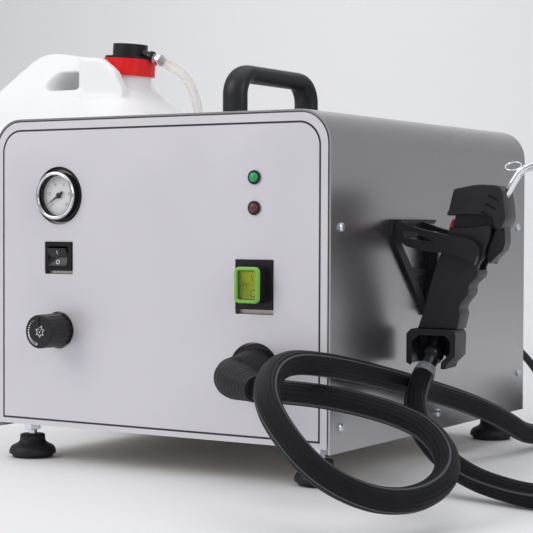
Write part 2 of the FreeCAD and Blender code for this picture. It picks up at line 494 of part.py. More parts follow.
noz = soft_path(PIPE, 3.2, "gun_nozzle")
noz_gap = soft_path(PIPE, 3.3, "gun_nozzle_gap")
handle = prism([(-22.5, 120.5), (-18, 133), (-13.2, 150), (-7.5, 170), (-0.2, 188), (5.6, 202.5), (8, 212.2), (39.2, 212.2), (38.9, 203), (37.5, 193), (34, 185.5), (33, 178), (28.6, 172), (28, 165), (24, 161), (20.4, 156), (20, 149), (15.5, 143), (12.6, 138), (13.6, 131.5), (12, 126), (11, 120.5)], 40, "xz", -20)
wedge = prism([(-13.2, 118), (13.2, 118), (15.3, 214), (-15.3, 214)], 140, "yz", -60)
handle = handle.common(wedge)
cav = prism([(-15, 119), (-6.5, 150), (1, 172), (10, 196), (14, 208.5), (32.5, 208.5), (29.5, 190), (22, 168), (13.5, 150), (7.5, 138), (7, 119)], 16.5, "xz", -8.25)
pocket = prism([(28.5, 202), (60, 202), (60, 163.5), (24.5, 169), (26, 183)], 19.4, "xz", -9.7)
handle = handle.cut(cav).cut(pocket).cut(noz_gap)
frontb, backb = box(-60, 120, -40, -0.02, 60, 300), box(-60, 120, 0.02, 40, 60, 300)
head = prism([(3.6, 212.6), (8.8, 233.6), (16, 234.8), (27, 237.0), (38, 236.9), (45.5, 236.0), (48.2, 232.0), (49.8, 223), (51.2, 211), (50.6, 207.5), (47.2, 201.0), (44.2, 201.0), (41.0, 204.0), (40.6, 212.6)], 34, "xz", -17)
hc = prism([(11, 212), (13.5, 230.5), (44, 230.5), (46.5, 214), (42, 210), (40, 212)], 26, "xz", -13)
head = head.cut(hc).cut(noz_gap)
TPIV = (44.6, 206.3)       # trigger pivot (u, z)
head = head.cut(box(38.5, 55.5, -9.3, 9.3, 196, 213)).cut(Part.makeCylinder(1.55, 30.4, V(TPIV[0], -15.2, TPIV[1]), Y))
for i, (u, z) in enumerate(((38.2, 227.6), (35.6, 221.2), (32.4, 214.9))):
    for side in (-18.0, 15.0):
        s = box(0, 9.0, side, side + 3.0, 0, 1.7)
        s.rotate(V(0, 0, 0), Y, 26)
        s.translate(V(u, 0, z))
        head = head.cut(s)
put("gun_head", gun(head))

guard = prism([(-30.5, 116.5), (-26.5, 120.4), (8.6, 120.4), (11.0, 116.5), (10.6, 99.0), (3.6, 92.0), (2.6, 88.4), (-3.5, 88.4), (-6, 97), (-24, 97), (-27, 91), (-30.5, 93)], 30, "xz", -17)
guard = guard.cut(prism([(-28.3, 80), (-28.3, 118), (8.4, 118), (8.2, 99.8), (1.2, 92.8), (-0.4, 80)], 26, "xz", -15))
guard = guard.cut(prism([(-26.0, 80), (-26.0, 110.5), (-20, 115.3), (2, 115.3), (6.4, 111), (6.2, 101), (-1.0, 94), (-2.0, 80)], 20, "xz", -30))
guard = guard.cut(ycyl(0, 0, 0.1, 0, 1)).cut(zcyl(-9.5, 0, 6.6, 110, 125))
put("gun_guard", gun(guard))
BALL = (-12.5, -3.0, 99.5)
put("gun_nozzle", gun(noz))
tor = Part.makeTorus(6.4, 0.6, V(0, 0, 0), V(0, 0, 1))
tor.rotate(V(0, 0, 0), X, 32)
tor.translate(V(58.0 - 3.2, -6.9, 251.4))
put("nozzle_ring", gun(tor))

trig = prism([(40.5, 198.5), (41.1, 209.0), (47.7, 209.0), (48.9, 197.5), (49.0, 190), (47.2, 184.0), (42.4, 179.8), (36.3, 173.6), (34.1, 179), (36.1, 188)], 17.6, "xz", -8.8)
trig = trig.cut(prism([(39.1, 194), (44.0, 196), (46.0, 190), (44.6, 186), (39.0, 180.8), (36.5, 180)], 12, "xz", -6))
trig = trig.fuse(Part.makeCylinder(1.5, 30.0, V(TPIV[0], -15.0, TPIV[1]), Y))
put("gun_trigger", gun(trig))
# thumb button in a bore of the head's thumb side
ba = V(-0.970, 0, 0.243)
bc = V(6.6, 0, 202.5)
btn = Part.makeCylinder(6.0, 7.0, V(0, 0, 0), ba)
btn = btn.fuse(Part.makeSphere(10.5, ba * -2.2).common(Part.makeCylinder(6.0, 12, V(0, 0, 0), ba)))
btn.translate(bc - ba * 2.5)
put_btn = btn
# its bore through both shells is cut here, so that the shells are written again
bore = Part.makeCylinder(6.06, 30, bc - ba * 12, ba)
handle2 = handle.cut(bore)
put("gun_shell_front", gun(handle2.common(frontb)))
put("gun_shell_back", gun(handle2.common(backb)))
put("gun_button", gun(put_btn))
# boot, collar
QE = V(*HOSE[-1]) if HOSE else V(362.9, 101.5, 81.9)
QD = V(*HOSE[-2]) if HOSE else V(370.2, 76.9, 71.9)
ball = gp(*BALL)
sph = Part.makeSphere(9.2, ball)
up = gp(-9.9, 0, 118.5) - ball
neck = Part.makeCylinder(5.8, up.Length, ball, up)
dn = QE - ball
tap = Part.makeCone(7.2, 6.0, dn.Length * 0.55, ball, dn)
boot_g = sph.fuse(neck).fuse(tap)
boot_g = boot_g.cut(gun(soft_path(PIPE, 3.32, "boot_gap")))
put("gun_boot", boot_g)
c0 = ball + dn * 0.55
col = Part.makeCone(7.6, 9.1, dn.Length * 0.45 - 2.9, c0 + dn.normalize() * 0.05, QE - ball)
put("hose_collar", col)

# ======================= water can =======================
cx, cy = (CAN_X0 + CAN_X1) / 2, (CAN_Y0 + CAN_Y1) / 2


def rrect(x0, x1, y0, y1, z, r):
    c = r * (1 - math.sqrt(0.5))
    e = [
        Part.LineSegment(V(x0 + r, y0, z), V(x1 - r, y0, z)).toShape(),
        Part.Arc(V(x1 - r, y0, z), V(x1 - c, y0 + c, z), V(x1, y0 + r, z)).toShape(),
        Part.LineSegment(V(x1, y0 + r, z), V(x1, y1 - r, z)).toShape(),
        Part.Arc(V(x1, y1 - r, z), V(x1 - c, y1 - c, z), V(x1 - r, y1, z)).toShape(),
        Part.LineSegment(V(x1 - r, y1, z), V(x0 + r, y1, z)).toShape(),
        Part.Arc(V(x0 + r, y1, z), V(x0 + c, y1 - c, z), V(x0, y1 - r, z)).toShape(),
        Part.LineSegment(V(x0, y1 - r, z), V(x0, y0 + r, z)).toShape(),
        Part.Arc(V(x0, y0 + r, z), V(x0 + c, y0 + c, z), V(x0 + r, y0, z)).toShape(),
    ]
    return Part.Wire(e)


def loft(*w):
    return Part.makeLoft(list(w), True, True)


def can_low(g, top):
    """lower part of the can, g millimetres inside its outer faces"""
    low = loft(rrect(CAN_X0 + 6 + g, CAN_X1 - 6 - g, CAN_Y0 + 6 + g, CAN_Y1 - 6 - g, g, 34), rrect(CAN_X0 + g, CAN_X1 - g, CAN_Y0 + g, CAN_Y1 - g, 8 + g, 36))
    return low.fuse(loft(rrect(CAN_X0 + g, CAN_X1 - g, CAN_Y0 + g, CAN_Y1 - g, 8 + g, 36), rrect(CAN_X0 + g, CAN_X1 - g, CAN_Y0 + g, CAN_Y1 - g, top, 36)))


put("tank_body", can_low(0.0, CAN_SPLIT - 0.02).cut(can_low(2.5, CAN_SPLIT + 6)))
# upper part: shoulders, the ridge with its finger hole, and the neck between two cheeks
lay = ((0, 0, 0, 36, CAN_SPLIT + 0.02), (2.5, 2.5, 4, 36, 296), (13, 20, 40, 36, 318), (24, 44, 72, 30, 336), (46, 52, 82, 24, 346))
top = loft(*[rrect(CAN_X0 + a, CAN_X1 - b, CAN_Y0 + c, CAN_Y1 - c, z, q) for a, b, c, q, z in lay])
inner = loft(*[rrect(CAN_X0 + a + 2.5, CAN_X1 - b - 2.5, CAN_Y0 + c + 2.5, CAN_Y1 - c - 2.5, z - (3.0 if i else 4.0), q - 2) for i, (a, b, c, q, z) in enumerate(lay)])
ridge = prism([(-256, 335), (-250, 342), (-243, 351.5), (-236, 358.5), (-228, 368), (-222, 373.6), (-215.5, 380.8), (-207, 386.5), (-199, 389), (-190, 389.6), (-175, 388.3), (-152, 384), (-134, 380.7), (-131, 379), (-131, 335)], 130, "xz", cy - 65)
ridge = ridge.common(prism([(cy - 15, 393), (cy + 15, 393), (cy + 54, 330), (cy - 54, 330)], 200, "yz", -290))
hollow = prism([(-250, 332), (-240, 348), (-226, 365), (-213, 378), (-199, 385.5), (-190, 386.1), (-175, 384.8), (-152, 380.6), (-138, 377.8), (-138, 332)], 130, "xz", cy - 65)
hollow = hollow.common(prism([(cy - 12, 392), (cy + 12, 392), (cy + 50.5, 330), (cy - 50.5, 330)], 200, "yz", -290))
hollow = hollow.cut(prism([(-186, 343.0), (-184, 358.7), (-171.7, 370.6), (-144.5, 370.6), (-132, 359.5), (-130, 343.0)], 150, "xz", cy - 75))
top = top.fuse(ridge)
cheek = [(-134, 381.2), (-128, 380.8), (-106, 378.5), (-96, 371.5), (-87, 364.5), (-82, 354), (-76, 343), (-76, 335), (-134, 335)]
top = top.fuse(prism(cheek, 12, "xz", cy - 44))
top = top.fuse(prism([(x - (14 if x > -120 else 0), z) for x, z in cheek], 12, "xz", cy + 32))
top = top.cut(prism([(-182, 346.6), (-180, 357), (-170, 367), (-146, 367), (-136, 358), (-134, 346.6)], 150, "xz", cy - 75))
top = top.cut(inner).cut(hollow)
ND0 = V(CAP_X, CAP_Y, CAP_Z)


def cap(s):
    s = s.copy()
    s.rotate(V(0, 0, 0), Y, CAP_TILT)
    s.translate(ND0)
    return s


top = top.fuse(cap(zcyl(0, 0, 24.0, -42, 14))).cut(cap(zcyl(0, 0, 21.0, -92, 20)))
top = top.cut(cap(zcyl(0, 0, 24.5, 0.0, 1.0).cut(zcyl(0, 0, 23.9, -1, 2))))
put("tank_shoulder", top)
ring = zcyl(0, 0, 28.0, 0, 18).cut(zcyl(0, 0, 24.05, -1, 15.0)).cut(zcyl(0, 0, 18.1, 10, 20))
for i in range(24):
    a = math.radians(15 * i)
    ring = ring.cut(zcyl(28.7 * math.cos(a), 28.7 * math.sin(a), 1.2, 2.0, 20))
put("tank_cap_ring", cap(ring))
plug = zcyl(0, 0, 18.0, 14.05, 18.3).fuse(zcyl(0, 0, 26.5, 18.1, 20.6)).fuse(zcyl(0, 0, 18.6, 20.5, 34.0)).fuse(zcyl(0, 0, 20.8, 14.05, 14.9).common(zcyl(0, 0, 20.8, 14.05, 14.9)))
plug = plug.cut(zcyl(0, 0, 3.0, 10, 24))
plug = cap(plug)
BD = V(0.922, 0, -0.387).normalize()
B0 = V(-66.0, 330.0, 379.8) - BD * 17.0
bb = Part.makeCylinder(4.0, 16.4, B0, BD).fuse(Part.makeCylinder(2.9, 30.0, B0, BD))
for i in range(3):
    bb = bb.fuse(Part.makeCone(3.5, 2.9, 3, B0 + BD * (19.0 + 3.5 * i), BD))
bb = bb.cut(cap(zcyl(0, 0, 28.4, -1, 18.3)))
plug = plug.fuse(bb)
put("tank_plug", plug)
put("suction_tube", cap(zcyl(0, 0, 2.95, -330, 23.5)))
# ======================= cords =======================
put("steam_hose", route(HOSE, HOSE_R, "steam_hose"))
lead = route(LEAD, LEAD_R, "mains_lead")
put("mains_lead", lead)
CX, CY, CR, CW, CH = COIL
coil = zcyl(CX, CY, CR + CW / 2, 0.2, 0.2 + CH).cut(zcyl(CX, CY, CR - CW / 2, -1, 30))
coil = coil.fuse(Part.makeCylinder(LEAD_R, 22, V(CX, CY + CR, LEAD[-1][2]), X))
coil = coil.cut(Part.makeCylinder(LEAD_R + 0.4, 30, V(CX - CR, LEAD[-1][1] - 30.0, LEAD[-1][2]), Y))
put("mains_coil", coil)
plg = Part.makeCylinder(18.8, 36, V(PLUG_X + 4, CY + CR, 18.95), X)
plg = plg.fuse(Part.makeCone(6.0, 14.0, 12, V(CX + 22.05, CY + CR, 18.95), X))
for q in (-9.5, 9.5):
    plg = plg.fuse(Part.makeCylinder(2.4, 19, V(PLUG_X + 39.9, CY + CR + q, 18.95), X))
put("mains_plug", plg)
wat = route(WATER, WATER_R, "water_hose")
wat = wat.cut(Part.makeCylinder(3.6, 13.5, V(*WATER[0]) - BD * 0.5, BD)).cut(ycyl(INLET[0], INLET[1], 3.6, D, WATER[-1][1] + 13))
put("water_hose", wat)

# sizes
bb = None
for n, s in DONE.items():
    if n in ("steam_hose", "mains_lead", "mains_coil", "mains_plug", "water_hose"):
        continue
    bb = s.BoundBox if bb is None else bb.united(s.BoundBox)
print("box without cords", [round(v, 1) for v in (bb.XMin, bb.XMax, bb.YMin, bb.YMax, bb.ZMin, bb.ZMax)], "nodes", len(DONE))
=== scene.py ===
import json
import math

import bmesh
import bpy
import numpy as np
from mathutils import Matrix, Vector
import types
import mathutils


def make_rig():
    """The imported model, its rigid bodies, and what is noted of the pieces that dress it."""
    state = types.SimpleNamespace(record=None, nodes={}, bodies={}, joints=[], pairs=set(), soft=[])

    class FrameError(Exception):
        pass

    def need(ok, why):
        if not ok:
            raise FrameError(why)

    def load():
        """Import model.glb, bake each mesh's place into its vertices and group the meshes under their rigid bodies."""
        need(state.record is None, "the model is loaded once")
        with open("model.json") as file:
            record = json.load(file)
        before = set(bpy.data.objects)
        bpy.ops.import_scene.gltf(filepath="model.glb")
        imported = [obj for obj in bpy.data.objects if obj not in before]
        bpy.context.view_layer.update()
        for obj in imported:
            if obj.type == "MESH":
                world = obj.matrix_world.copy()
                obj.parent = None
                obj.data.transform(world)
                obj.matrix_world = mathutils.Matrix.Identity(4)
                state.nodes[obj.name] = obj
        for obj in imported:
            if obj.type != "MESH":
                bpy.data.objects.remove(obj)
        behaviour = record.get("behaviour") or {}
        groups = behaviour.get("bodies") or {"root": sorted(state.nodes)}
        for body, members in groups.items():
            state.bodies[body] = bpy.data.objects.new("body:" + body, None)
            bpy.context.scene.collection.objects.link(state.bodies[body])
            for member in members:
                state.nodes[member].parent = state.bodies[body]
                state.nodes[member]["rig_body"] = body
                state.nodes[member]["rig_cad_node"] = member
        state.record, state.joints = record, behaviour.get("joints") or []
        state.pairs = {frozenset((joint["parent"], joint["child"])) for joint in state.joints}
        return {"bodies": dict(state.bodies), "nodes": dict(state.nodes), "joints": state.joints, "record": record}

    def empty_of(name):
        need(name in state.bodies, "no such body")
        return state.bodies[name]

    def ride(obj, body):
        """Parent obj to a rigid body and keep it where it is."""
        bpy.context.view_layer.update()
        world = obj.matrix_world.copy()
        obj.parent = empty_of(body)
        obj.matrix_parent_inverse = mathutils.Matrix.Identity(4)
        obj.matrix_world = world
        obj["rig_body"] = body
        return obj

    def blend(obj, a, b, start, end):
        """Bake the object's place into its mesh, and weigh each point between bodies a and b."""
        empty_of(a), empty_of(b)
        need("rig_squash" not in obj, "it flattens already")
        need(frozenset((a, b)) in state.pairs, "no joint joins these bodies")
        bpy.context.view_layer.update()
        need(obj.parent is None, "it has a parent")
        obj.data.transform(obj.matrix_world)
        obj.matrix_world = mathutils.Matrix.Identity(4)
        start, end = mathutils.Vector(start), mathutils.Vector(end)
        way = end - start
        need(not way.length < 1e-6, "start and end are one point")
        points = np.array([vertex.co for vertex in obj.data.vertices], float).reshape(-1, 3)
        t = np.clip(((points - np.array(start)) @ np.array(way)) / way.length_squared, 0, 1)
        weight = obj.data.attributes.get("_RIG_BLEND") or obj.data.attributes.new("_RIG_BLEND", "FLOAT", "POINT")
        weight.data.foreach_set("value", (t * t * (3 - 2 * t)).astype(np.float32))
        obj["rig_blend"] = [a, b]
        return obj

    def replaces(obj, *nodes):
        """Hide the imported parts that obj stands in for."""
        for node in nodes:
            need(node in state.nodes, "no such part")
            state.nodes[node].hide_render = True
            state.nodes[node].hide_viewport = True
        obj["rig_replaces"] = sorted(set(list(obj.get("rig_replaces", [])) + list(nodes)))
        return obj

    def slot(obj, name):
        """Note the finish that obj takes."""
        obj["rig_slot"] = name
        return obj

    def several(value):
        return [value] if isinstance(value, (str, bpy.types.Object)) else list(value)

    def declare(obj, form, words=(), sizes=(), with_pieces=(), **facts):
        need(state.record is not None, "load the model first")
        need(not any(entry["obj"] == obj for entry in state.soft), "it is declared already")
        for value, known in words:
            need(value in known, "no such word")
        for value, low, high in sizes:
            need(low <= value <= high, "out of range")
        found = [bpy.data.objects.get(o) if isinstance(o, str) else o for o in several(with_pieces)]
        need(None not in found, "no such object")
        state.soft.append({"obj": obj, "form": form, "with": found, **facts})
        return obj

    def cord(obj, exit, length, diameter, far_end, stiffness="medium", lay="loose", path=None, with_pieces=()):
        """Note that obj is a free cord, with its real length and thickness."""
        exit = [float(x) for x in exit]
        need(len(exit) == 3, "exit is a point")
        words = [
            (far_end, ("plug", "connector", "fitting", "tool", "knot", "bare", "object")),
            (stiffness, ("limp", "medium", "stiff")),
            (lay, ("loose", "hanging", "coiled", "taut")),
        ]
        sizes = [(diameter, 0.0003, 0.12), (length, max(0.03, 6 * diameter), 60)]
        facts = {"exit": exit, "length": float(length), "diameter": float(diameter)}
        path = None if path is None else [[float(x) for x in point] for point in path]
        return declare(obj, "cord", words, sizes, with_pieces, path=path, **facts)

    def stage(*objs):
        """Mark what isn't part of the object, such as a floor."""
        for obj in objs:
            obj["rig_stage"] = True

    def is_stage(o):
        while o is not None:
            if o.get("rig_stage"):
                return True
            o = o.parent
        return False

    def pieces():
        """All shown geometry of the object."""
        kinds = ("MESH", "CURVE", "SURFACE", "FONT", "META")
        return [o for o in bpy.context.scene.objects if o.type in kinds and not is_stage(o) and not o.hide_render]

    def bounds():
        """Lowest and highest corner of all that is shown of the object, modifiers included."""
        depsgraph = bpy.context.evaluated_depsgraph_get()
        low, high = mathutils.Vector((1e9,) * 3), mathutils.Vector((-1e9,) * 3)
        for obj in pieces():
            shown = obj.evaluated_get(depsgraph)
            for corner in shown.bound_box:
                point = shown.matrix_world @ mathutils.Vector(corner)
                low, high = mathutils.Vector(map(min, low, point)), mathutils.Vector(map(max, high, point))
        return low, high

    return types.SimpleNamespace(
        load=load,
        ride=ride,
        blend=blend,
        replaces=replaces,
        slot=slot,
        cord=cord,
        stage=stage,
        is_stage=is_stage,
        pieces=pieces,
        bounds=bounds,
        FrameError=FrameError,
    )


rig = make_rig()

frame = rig.load()
cad_lo, cad_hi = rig.bounds()

OX, OY = -92.9, -189.8
GUN_X, GUN_Y, GUN_YAW = 378.0, 120.0, math.radians(8.0)


def M(x, y, z):
    return Vector(((x + OX) / 1000.0, (y + OY) / 1000.0, z / 1000.0))


def G(u, c, z):
    return M(GUN_X + u * math.cos(GUN_YAW) - c * math.sin(GUN_YAW), GUN_Y + u * math.sin(GUN_YAW) + c * math.cos(GUN_YAW), z)


# ------------------------------------------------------------------ camera
cam_data = bpy.data.cameras.new("camera_main")
cam = bpy.data.objects.new("camera_main", cam_data)
bpy.context.scene.collection.objects.link(cam)
r = Vector((0.85131411, 0.52464403, 0.00359438))
u = Vector((-0.01716083, 0.02099747, 0.99963224))
d = Vector((-0.52437562, 0.85106271, -0.02687877))
rot = Matrix((r, u, -d)).transposed().to_4x4()
cam.matrix_world = Matrix.Translation(M(950.658, -1092.485, 206.098)) @ rot
cam_data.sensor_width = 36.0
cam_data.lens = 110.697
cam_data.clip_start = 0.05
cam_data.clip_end = 30.0
bpy.context.scene.camera = cam

# ------------------------------------------------------------------ materials


def basic(name, color, rough=0.5, metal=0.0):
    m = bpy.data.materials.new(name)
    m.use_nodes = True
    nt = m.node_tree
    b = nt.nodes["Principled BSDF"]
    b.inputs["Base Color"].default_value = (color[0], color[1], color[2], 1.0)
    b.inputs["Roughness"].default_value = rough
    b.inputs["Metallic"].default_value = metal
    return m, nt, b


def coords(nt, stretch=(1, 1, 1), kind="Object"):
    tc = nt.nodes.new("ShaderNodeTexCoord")
    mp = nt.nodes.new("ShaderNodeMapping")
    mp.inputs["Scale"].default_value = stretch
    nt.links.new(tc.outputs[kind], mp.inputs["Vector"])
    return mp.outputs["Vector"]


def noise(nt, vec, scale, detail=3.0, rough=0.5):
    n = nt.nodes.new("ShaderNodeTexNoise")
    n.inputs["Scale"].default_value = scale
    n.inputs["Detail"].default_value = detail
    n.inputs["Roughness"].default_value = rough
    nt.links.new(vec, n.inputs["Vector"])
    return n.outputs["Fac"]


def rng(nt, value, lo, hi):
    n = nt.nodes.new("ShaderNodeMapRange")
    n.inputs["From Min"].default_value = 0.3
    n.inputs["From Max"].default_value = 0.7
    n.inputs["To Min"].default_value = lo
    n.inputs["To Max"].default_value = hi
    nt.links.new(value, n.inputs["Value"])
    return n.outputs["Result"]


def mixed(nt, fac, a, b2):
    n = nt.nodes.new("ShaderNodeMix")
    n.data_type = "RGBA"
    n.inputs[6].default_value = (a[0], a[1], a[2], 1)
    n.inputs[7].default_value = (b2[0], b2[1], b2[2], 1)
    nt.links.new(fac, n.inputs[0])
    return n.outputs[2]


def bump(nt, b, height, strength, dist, prev=None):
    n = nt.nodes.new("ShaderNodeBump")
    n.inputs["Strength"].default_value = strength
    n.inputs["Distance"].default_value = dist
    nt.links.new(height, n.inputs["Height"])
    if prev is not None:
        nt.links.new(prev, n.inputs["Normal"])
    nt.links.new(n.outputs["Normal"], b.inputs["Normal"])
    return n.outputs["Normal"]


def grained(name, color, rough, metal=0.0, grain=900.0, strength=0.25, dist=0.0002, shade=0.12, rvar=0.08, stretch=(1, 1, 1), blotch=14.0):
    """a surface with fine grain, slight colour drift and uneven gloss"""
    m, nt, b = basic(name, color, rough, metal)
    v = coords(nt, stretch)
    w = coords(nt)
    g = noise(nt, v, grain, 2.0)
    c = noise(nt, w, blotch, 4.0)
    lo = [max(0.0, k * (1 - shade)) for k in color]
    hi = [min(1.0, k * (1 + shade) + 0.004) for k in color]
    nt.links.new(mixed(nt, c, lo, hi), b.inputs["Base Color"])
    nt.links.new(rng(nt, c, max(0.02, rough - rvar), min(1.0, rough + rvar)), b.inputs["Roughness"])
    if metal == 0.0 and max(color) < 0.04:
        b.inputs["Specular IOR Level"].default_value = 0.3
    bump(nt, b, g, strength, dist)
    return m


steel = grained("steel_cover", (0.50, 0.495, 0.515), 0.28, 1.0, 700, 0.08, 0.00004, 0.03, 0.05, (0.03, 1.0, 14.0), 3.0)
fascia_m = grained("fascia_silver", (0.72, 0.70, 0.745), 0.42, 0.45, 1600, 0.10, 0.00003, 0.02, 0.03)
sheet_m = grained("sheet_steel", (0.62, 0.58, 0.52), 0.45, 1.0, 600, 0.08, 0.00005, 0.06, 0.08)
edge_m = grained("cut_edge", (0.70, 0.62, 0.52), 0.4, 0.9, 900, 0.1, 0.00005)
zinc = grained("zinc", (0.70, 0.74, 0.78), 0.25, 1.0, 500, 0.1, 0.00006, 0.08, 0.1)
chrome = grained("chrome", (0.82, 0.83, 0.86), 0.08, 1.0, 300, 0.03, 0.00003, 0.03, 0.03)
brass = grained("brass", (0.80, 0.62, 0.33), 0.3, 1.0, 400, 0.1, 0.00005)
copper = grained("copper_pipe", (0.72, 0.40, 0.25), 0.3, 1.0, 300, 0.1, 0.00005)
plastic = grained("black_plastic", (0.014, 0.014, 0.017), 0.38, 0.0, 1500, 0.22, 0.00010, 0.25, 0.06)
handle_m = grained("handle_black", (0.020, 0.021, 0.026), 0.40, 0.0, 1300, 0.18, 0.00010, 0.2, 0.05)
gunp = grained("gun_plastic", (0.017, 0.017, 0.021), 0.40, 0.0, 1400, 0.35, 0.00014, 0.25, 0.06)
rubber = grained("black_rubber", (0.016, 0.016, 0.020), 0.55, 0.0, 900, 0.25, 0.00012, 0.3, 0.08)
gloss_black = grained("gloss_black", (0.012, 0.012, 0.015), 0.2, 0.0, 900, 0.04, 0.00004, 0.2, 0.06)
enamel = grained("gauge_enamel", (0.014, 0.014, 0.018), 0.3, 0.0, 600, 0.06, 0.00005, 0.2, 0.05)
rim_m = grained("gauge_rim", (0.80, 0.80, 0.82), 0.16, 1.0, 300, 0.04, 0.00003)
dial_m = grained("dial_white", (0.86, 0.86, 0.88), 0.5, 0.0, 900, 0.05, 0.00003, 0.02, 0.05)
ink = grained("ink_black", (0.03, 0.03, 0.035), 0.5, 0.0, 600, 0.05, 0.00003)
ink_soft = grained("ink_grey", (0.20, 0.20, 0.22), 0.5, 0.0, 600, 0.05, 0.00003)
white_ink = grained("ink_white", (0.85, 0.85, 0.88), 0.45, 0.0, 600, 0.05, 0.00003, 0.03)
lamp_g = grained("lamp_green", (0.0, 0.36, 0.10), 0.22, 0.0, 700, 0.12, 0.0001, 0.25)
lamp_r = grained("lamp_red", (0.13, 0.025, 0.028), 0.25, 0.0, 700, 0.12, 0.0001, 0.25)
lime = grained("boot_lime", (0.22, 0.50, 0.06), 0.35, 0.0, 500, 0.1, 0.00008, 0.1)
yellow = grained("rocker_yellow", (0.84, 0.90, 0.02), 0.35, 0.0, 500, 0.06, 0.00006, 0.05)
red = grained("button_red", (0.70, 0.012, 0.02), 0.25, 0.0, 500, 0.06, 0.00006, 0.08)
cap_m = grained("cap_red", (0.88, 0.006, 0.008), 0.27, 0.0, 700, 0.12, 0.00008, 0.08)
grey_m = grained("pump_grey", (0.12, 0.12, 0.13), 0.5)
board_m = grained("board_green", (0.02, 0.22, 0.10), 0.4)

# water can: milky plastic, light passes a little
can_m, nt, b = basic("can_white", (0.93, 0.94, 0.95), 0.36)
v = coords(nt)
c = noise(nt, v, 9.0, 4.0)
nt.links.new(mixed(nt, c, (0.91, 0.92, 0.93), (0.97, 0.975, 0.98)), b.inputs["Base Color"])
b.inputs["Subsurface Weight"].default_value = 0.12
b.inputs["Subsurface Radius"].default_value = (0.02, 0.02, 0.02)
b.inputs["Subsurface Scale"].default_value = 0.4
bump(nt, b, noise(nt, v, 160.0, 3.0), 0.15, 0.0004)

# clear hose: soft, faintly yellow
tube_m, nt, b = basic("clear_tube", (0.93, 0.90, 0.84), 0.12)
b.inputs["Transmission Weight"].default_value = 0.55
b.inputs["IOR"].default_value = 1.4
b.inputs["Alpha"].default_value = 0.62
v = coords(nt)
c = noise(nt, v, 60.0, 2.0)
nt.links.new(mixed(nt, c, (0.90, 0.86, 0.79), (0.97, 0.95, 0.91)), b.inputs["Base Color"])
bump(nt, b, noise(nt, v, 400.0, 2.0), 0.1, 0.0001)

clear_m, nt, b = basic("lens_clear", (1, 1, 1), 0.03)
b.inputs["Transmission Weight"].default_value = 1.0
b.inputs["IOR"].default_value = 1.15
b.inputs["Alpha"].default_value = 0.12
v = coords(nt)
bump(nt, b, noise(nt, v, 120.0, 2.0), 0.02, 0.00002)

sleeve_m, nt, b = basic("shrink_clear", (0.30, 0.31, 0.34), 0.18)
b.inputs["Alpha"].default_value = 0.75
v = coords(nt)
c = noise(nt, v, 200.0, 2.0)
nt.links.new(mixed(nt, c, (0.10, 0.10, 0.12), (0.42, 0.44, 0.48)), b.inputs["Base Color"])
bump(nt, b, c, 0.5, 0.0006)


def braided(name, color, lines, pitch_v, rough=0.5):
    """woven sleeve: lengthwise ribs and a fine cross weave, mapped by the tube's own coordinates"""
    m, nt, b = basic(name, color, rough)
    uv = nt.nodes.new("ShaderNodeUVMap")
    uv.uv_map = "tube"
    sep = nt.nodes.new("ShaderNodeSeparateXYZ")
    nt.links.new(uv.outputs["UV"], sep.inputs[0])

    def math_node(op, a, v2=None, third=None):
        n = nt.nodes.new("ShaderNodeMath")
        n.operation = op
        for i, q in enumerate((a, v2, third)):
            if q is None:
                continue
            if isinstance(q, (int, float)):
                n.inputs[i].default_value = q
            else:
                nt.links.new(q, n.inputs[i])
        return n.outputs[0]

    def wave(sig, k, phase=0.0):
        a = math_node("MULTIPLY_ADD", sig, k, phase)
        return math_node("SINE", a)

    ribs = wave(sep.outputs["Y"], 2 * math.pi * lines)
    fine = wave(sep.outputs["Y"], 2 * math.pi * lines * 3)
    diag = wave(math_node("ADD", math_node("MULTIPLY", sep.outputs["X"], 1.0 / pitch_v), math_node("MULTIPLY", sep.outputs["Y"], float(lines))), 2 * math.pi)
    diag2 = wave(math_node("SUBTRACT", math_node("MULTIPLY", sep.outputs["X"], 1.0 / pitch_v), math_node("MULTIPLY", sep.outputs["Y"], float(lines))), 2 * math.pi)
    h = math_node("ADD", math_node("MULTIPLY", ribs, 0.5), math_node("MULTIPLY", math_node("MULTIPLY", diag, diag2), 0.3))
    h = math_node("ADD", h, math_node("MULTIPLY", fine, 0.15))
    ob = coords(nt)
    drift = noise(nt, ob, 45.0, 3.0)
    col = mixed(nt, drift, [k * 0.6 for k in color], [k * 1.7 for k in color])
    # painted highlight: three thin lighter grey streaks run lengthwise round the sleeve, standing in for light glinting
    # off the glossy ribs
    highlight_streak_mix = nt.nodes.new("ShaderNodeMix")
    highlight_streak_mix.data_type = "RGBA"
    highlight_streak_mix.inputs[7].default_value = (0.22, 0.22, 0.25, 1)
    nt.links.new(col, highlight_streak_mix.inputs[6])
    highlight_streak_mask = nt.nodes.new("ShaderNodeMapRange")
    highlight_streak_mask.inputs["From Min"].default_value = 0.93
    highlight_streak_mask.inputs["From Max"].default_value = 1.0
    highlight_streak_mask.inputs["To Max"].default_value = 0.42
    nt.links.new(wave(sep.outputs["Y"], 2 * math.pi * 3, 0.7), highlight_streak_mask.inputs["Value"])
    nt.links.new(highlight_streak_mask.outputs["Result"], highlight_streak_mix.inputs[0])
    nt.links.new(highlight_streak_mix.outputs[2], b.inputs["Base Color"])
    bump(nt, b, h, 0.8, 0.0006)
    b.inputs["Sheen Weight"].default_value = 0.0
    b.inputs["Specular IOR Level"].default_value = 0.16
    b.inputs["Sheen Roughness"].default_value = 0.5
    return m


hose_m = braided("hose_black", (0.006, 0.006, 0.008), 18, 0.0022, 0.46)
lead_m = grained("lead_black", (0.018, 0.018, 0.02), 0.45, 0.0, 600, 0.1, 0.0001)

# ------------------------------------------------------------------ mesh helpers


def link(name, me, material, smooth=True):
    ob = bpy.data.objects.new(name, me)
    bpy.context.scene.collection.objects.link(ob)
    me.materials.clear()
    me.materials.append(material)
    if smooth:
        for p in me.polygons:
            p.use_smooth = True
    return ob


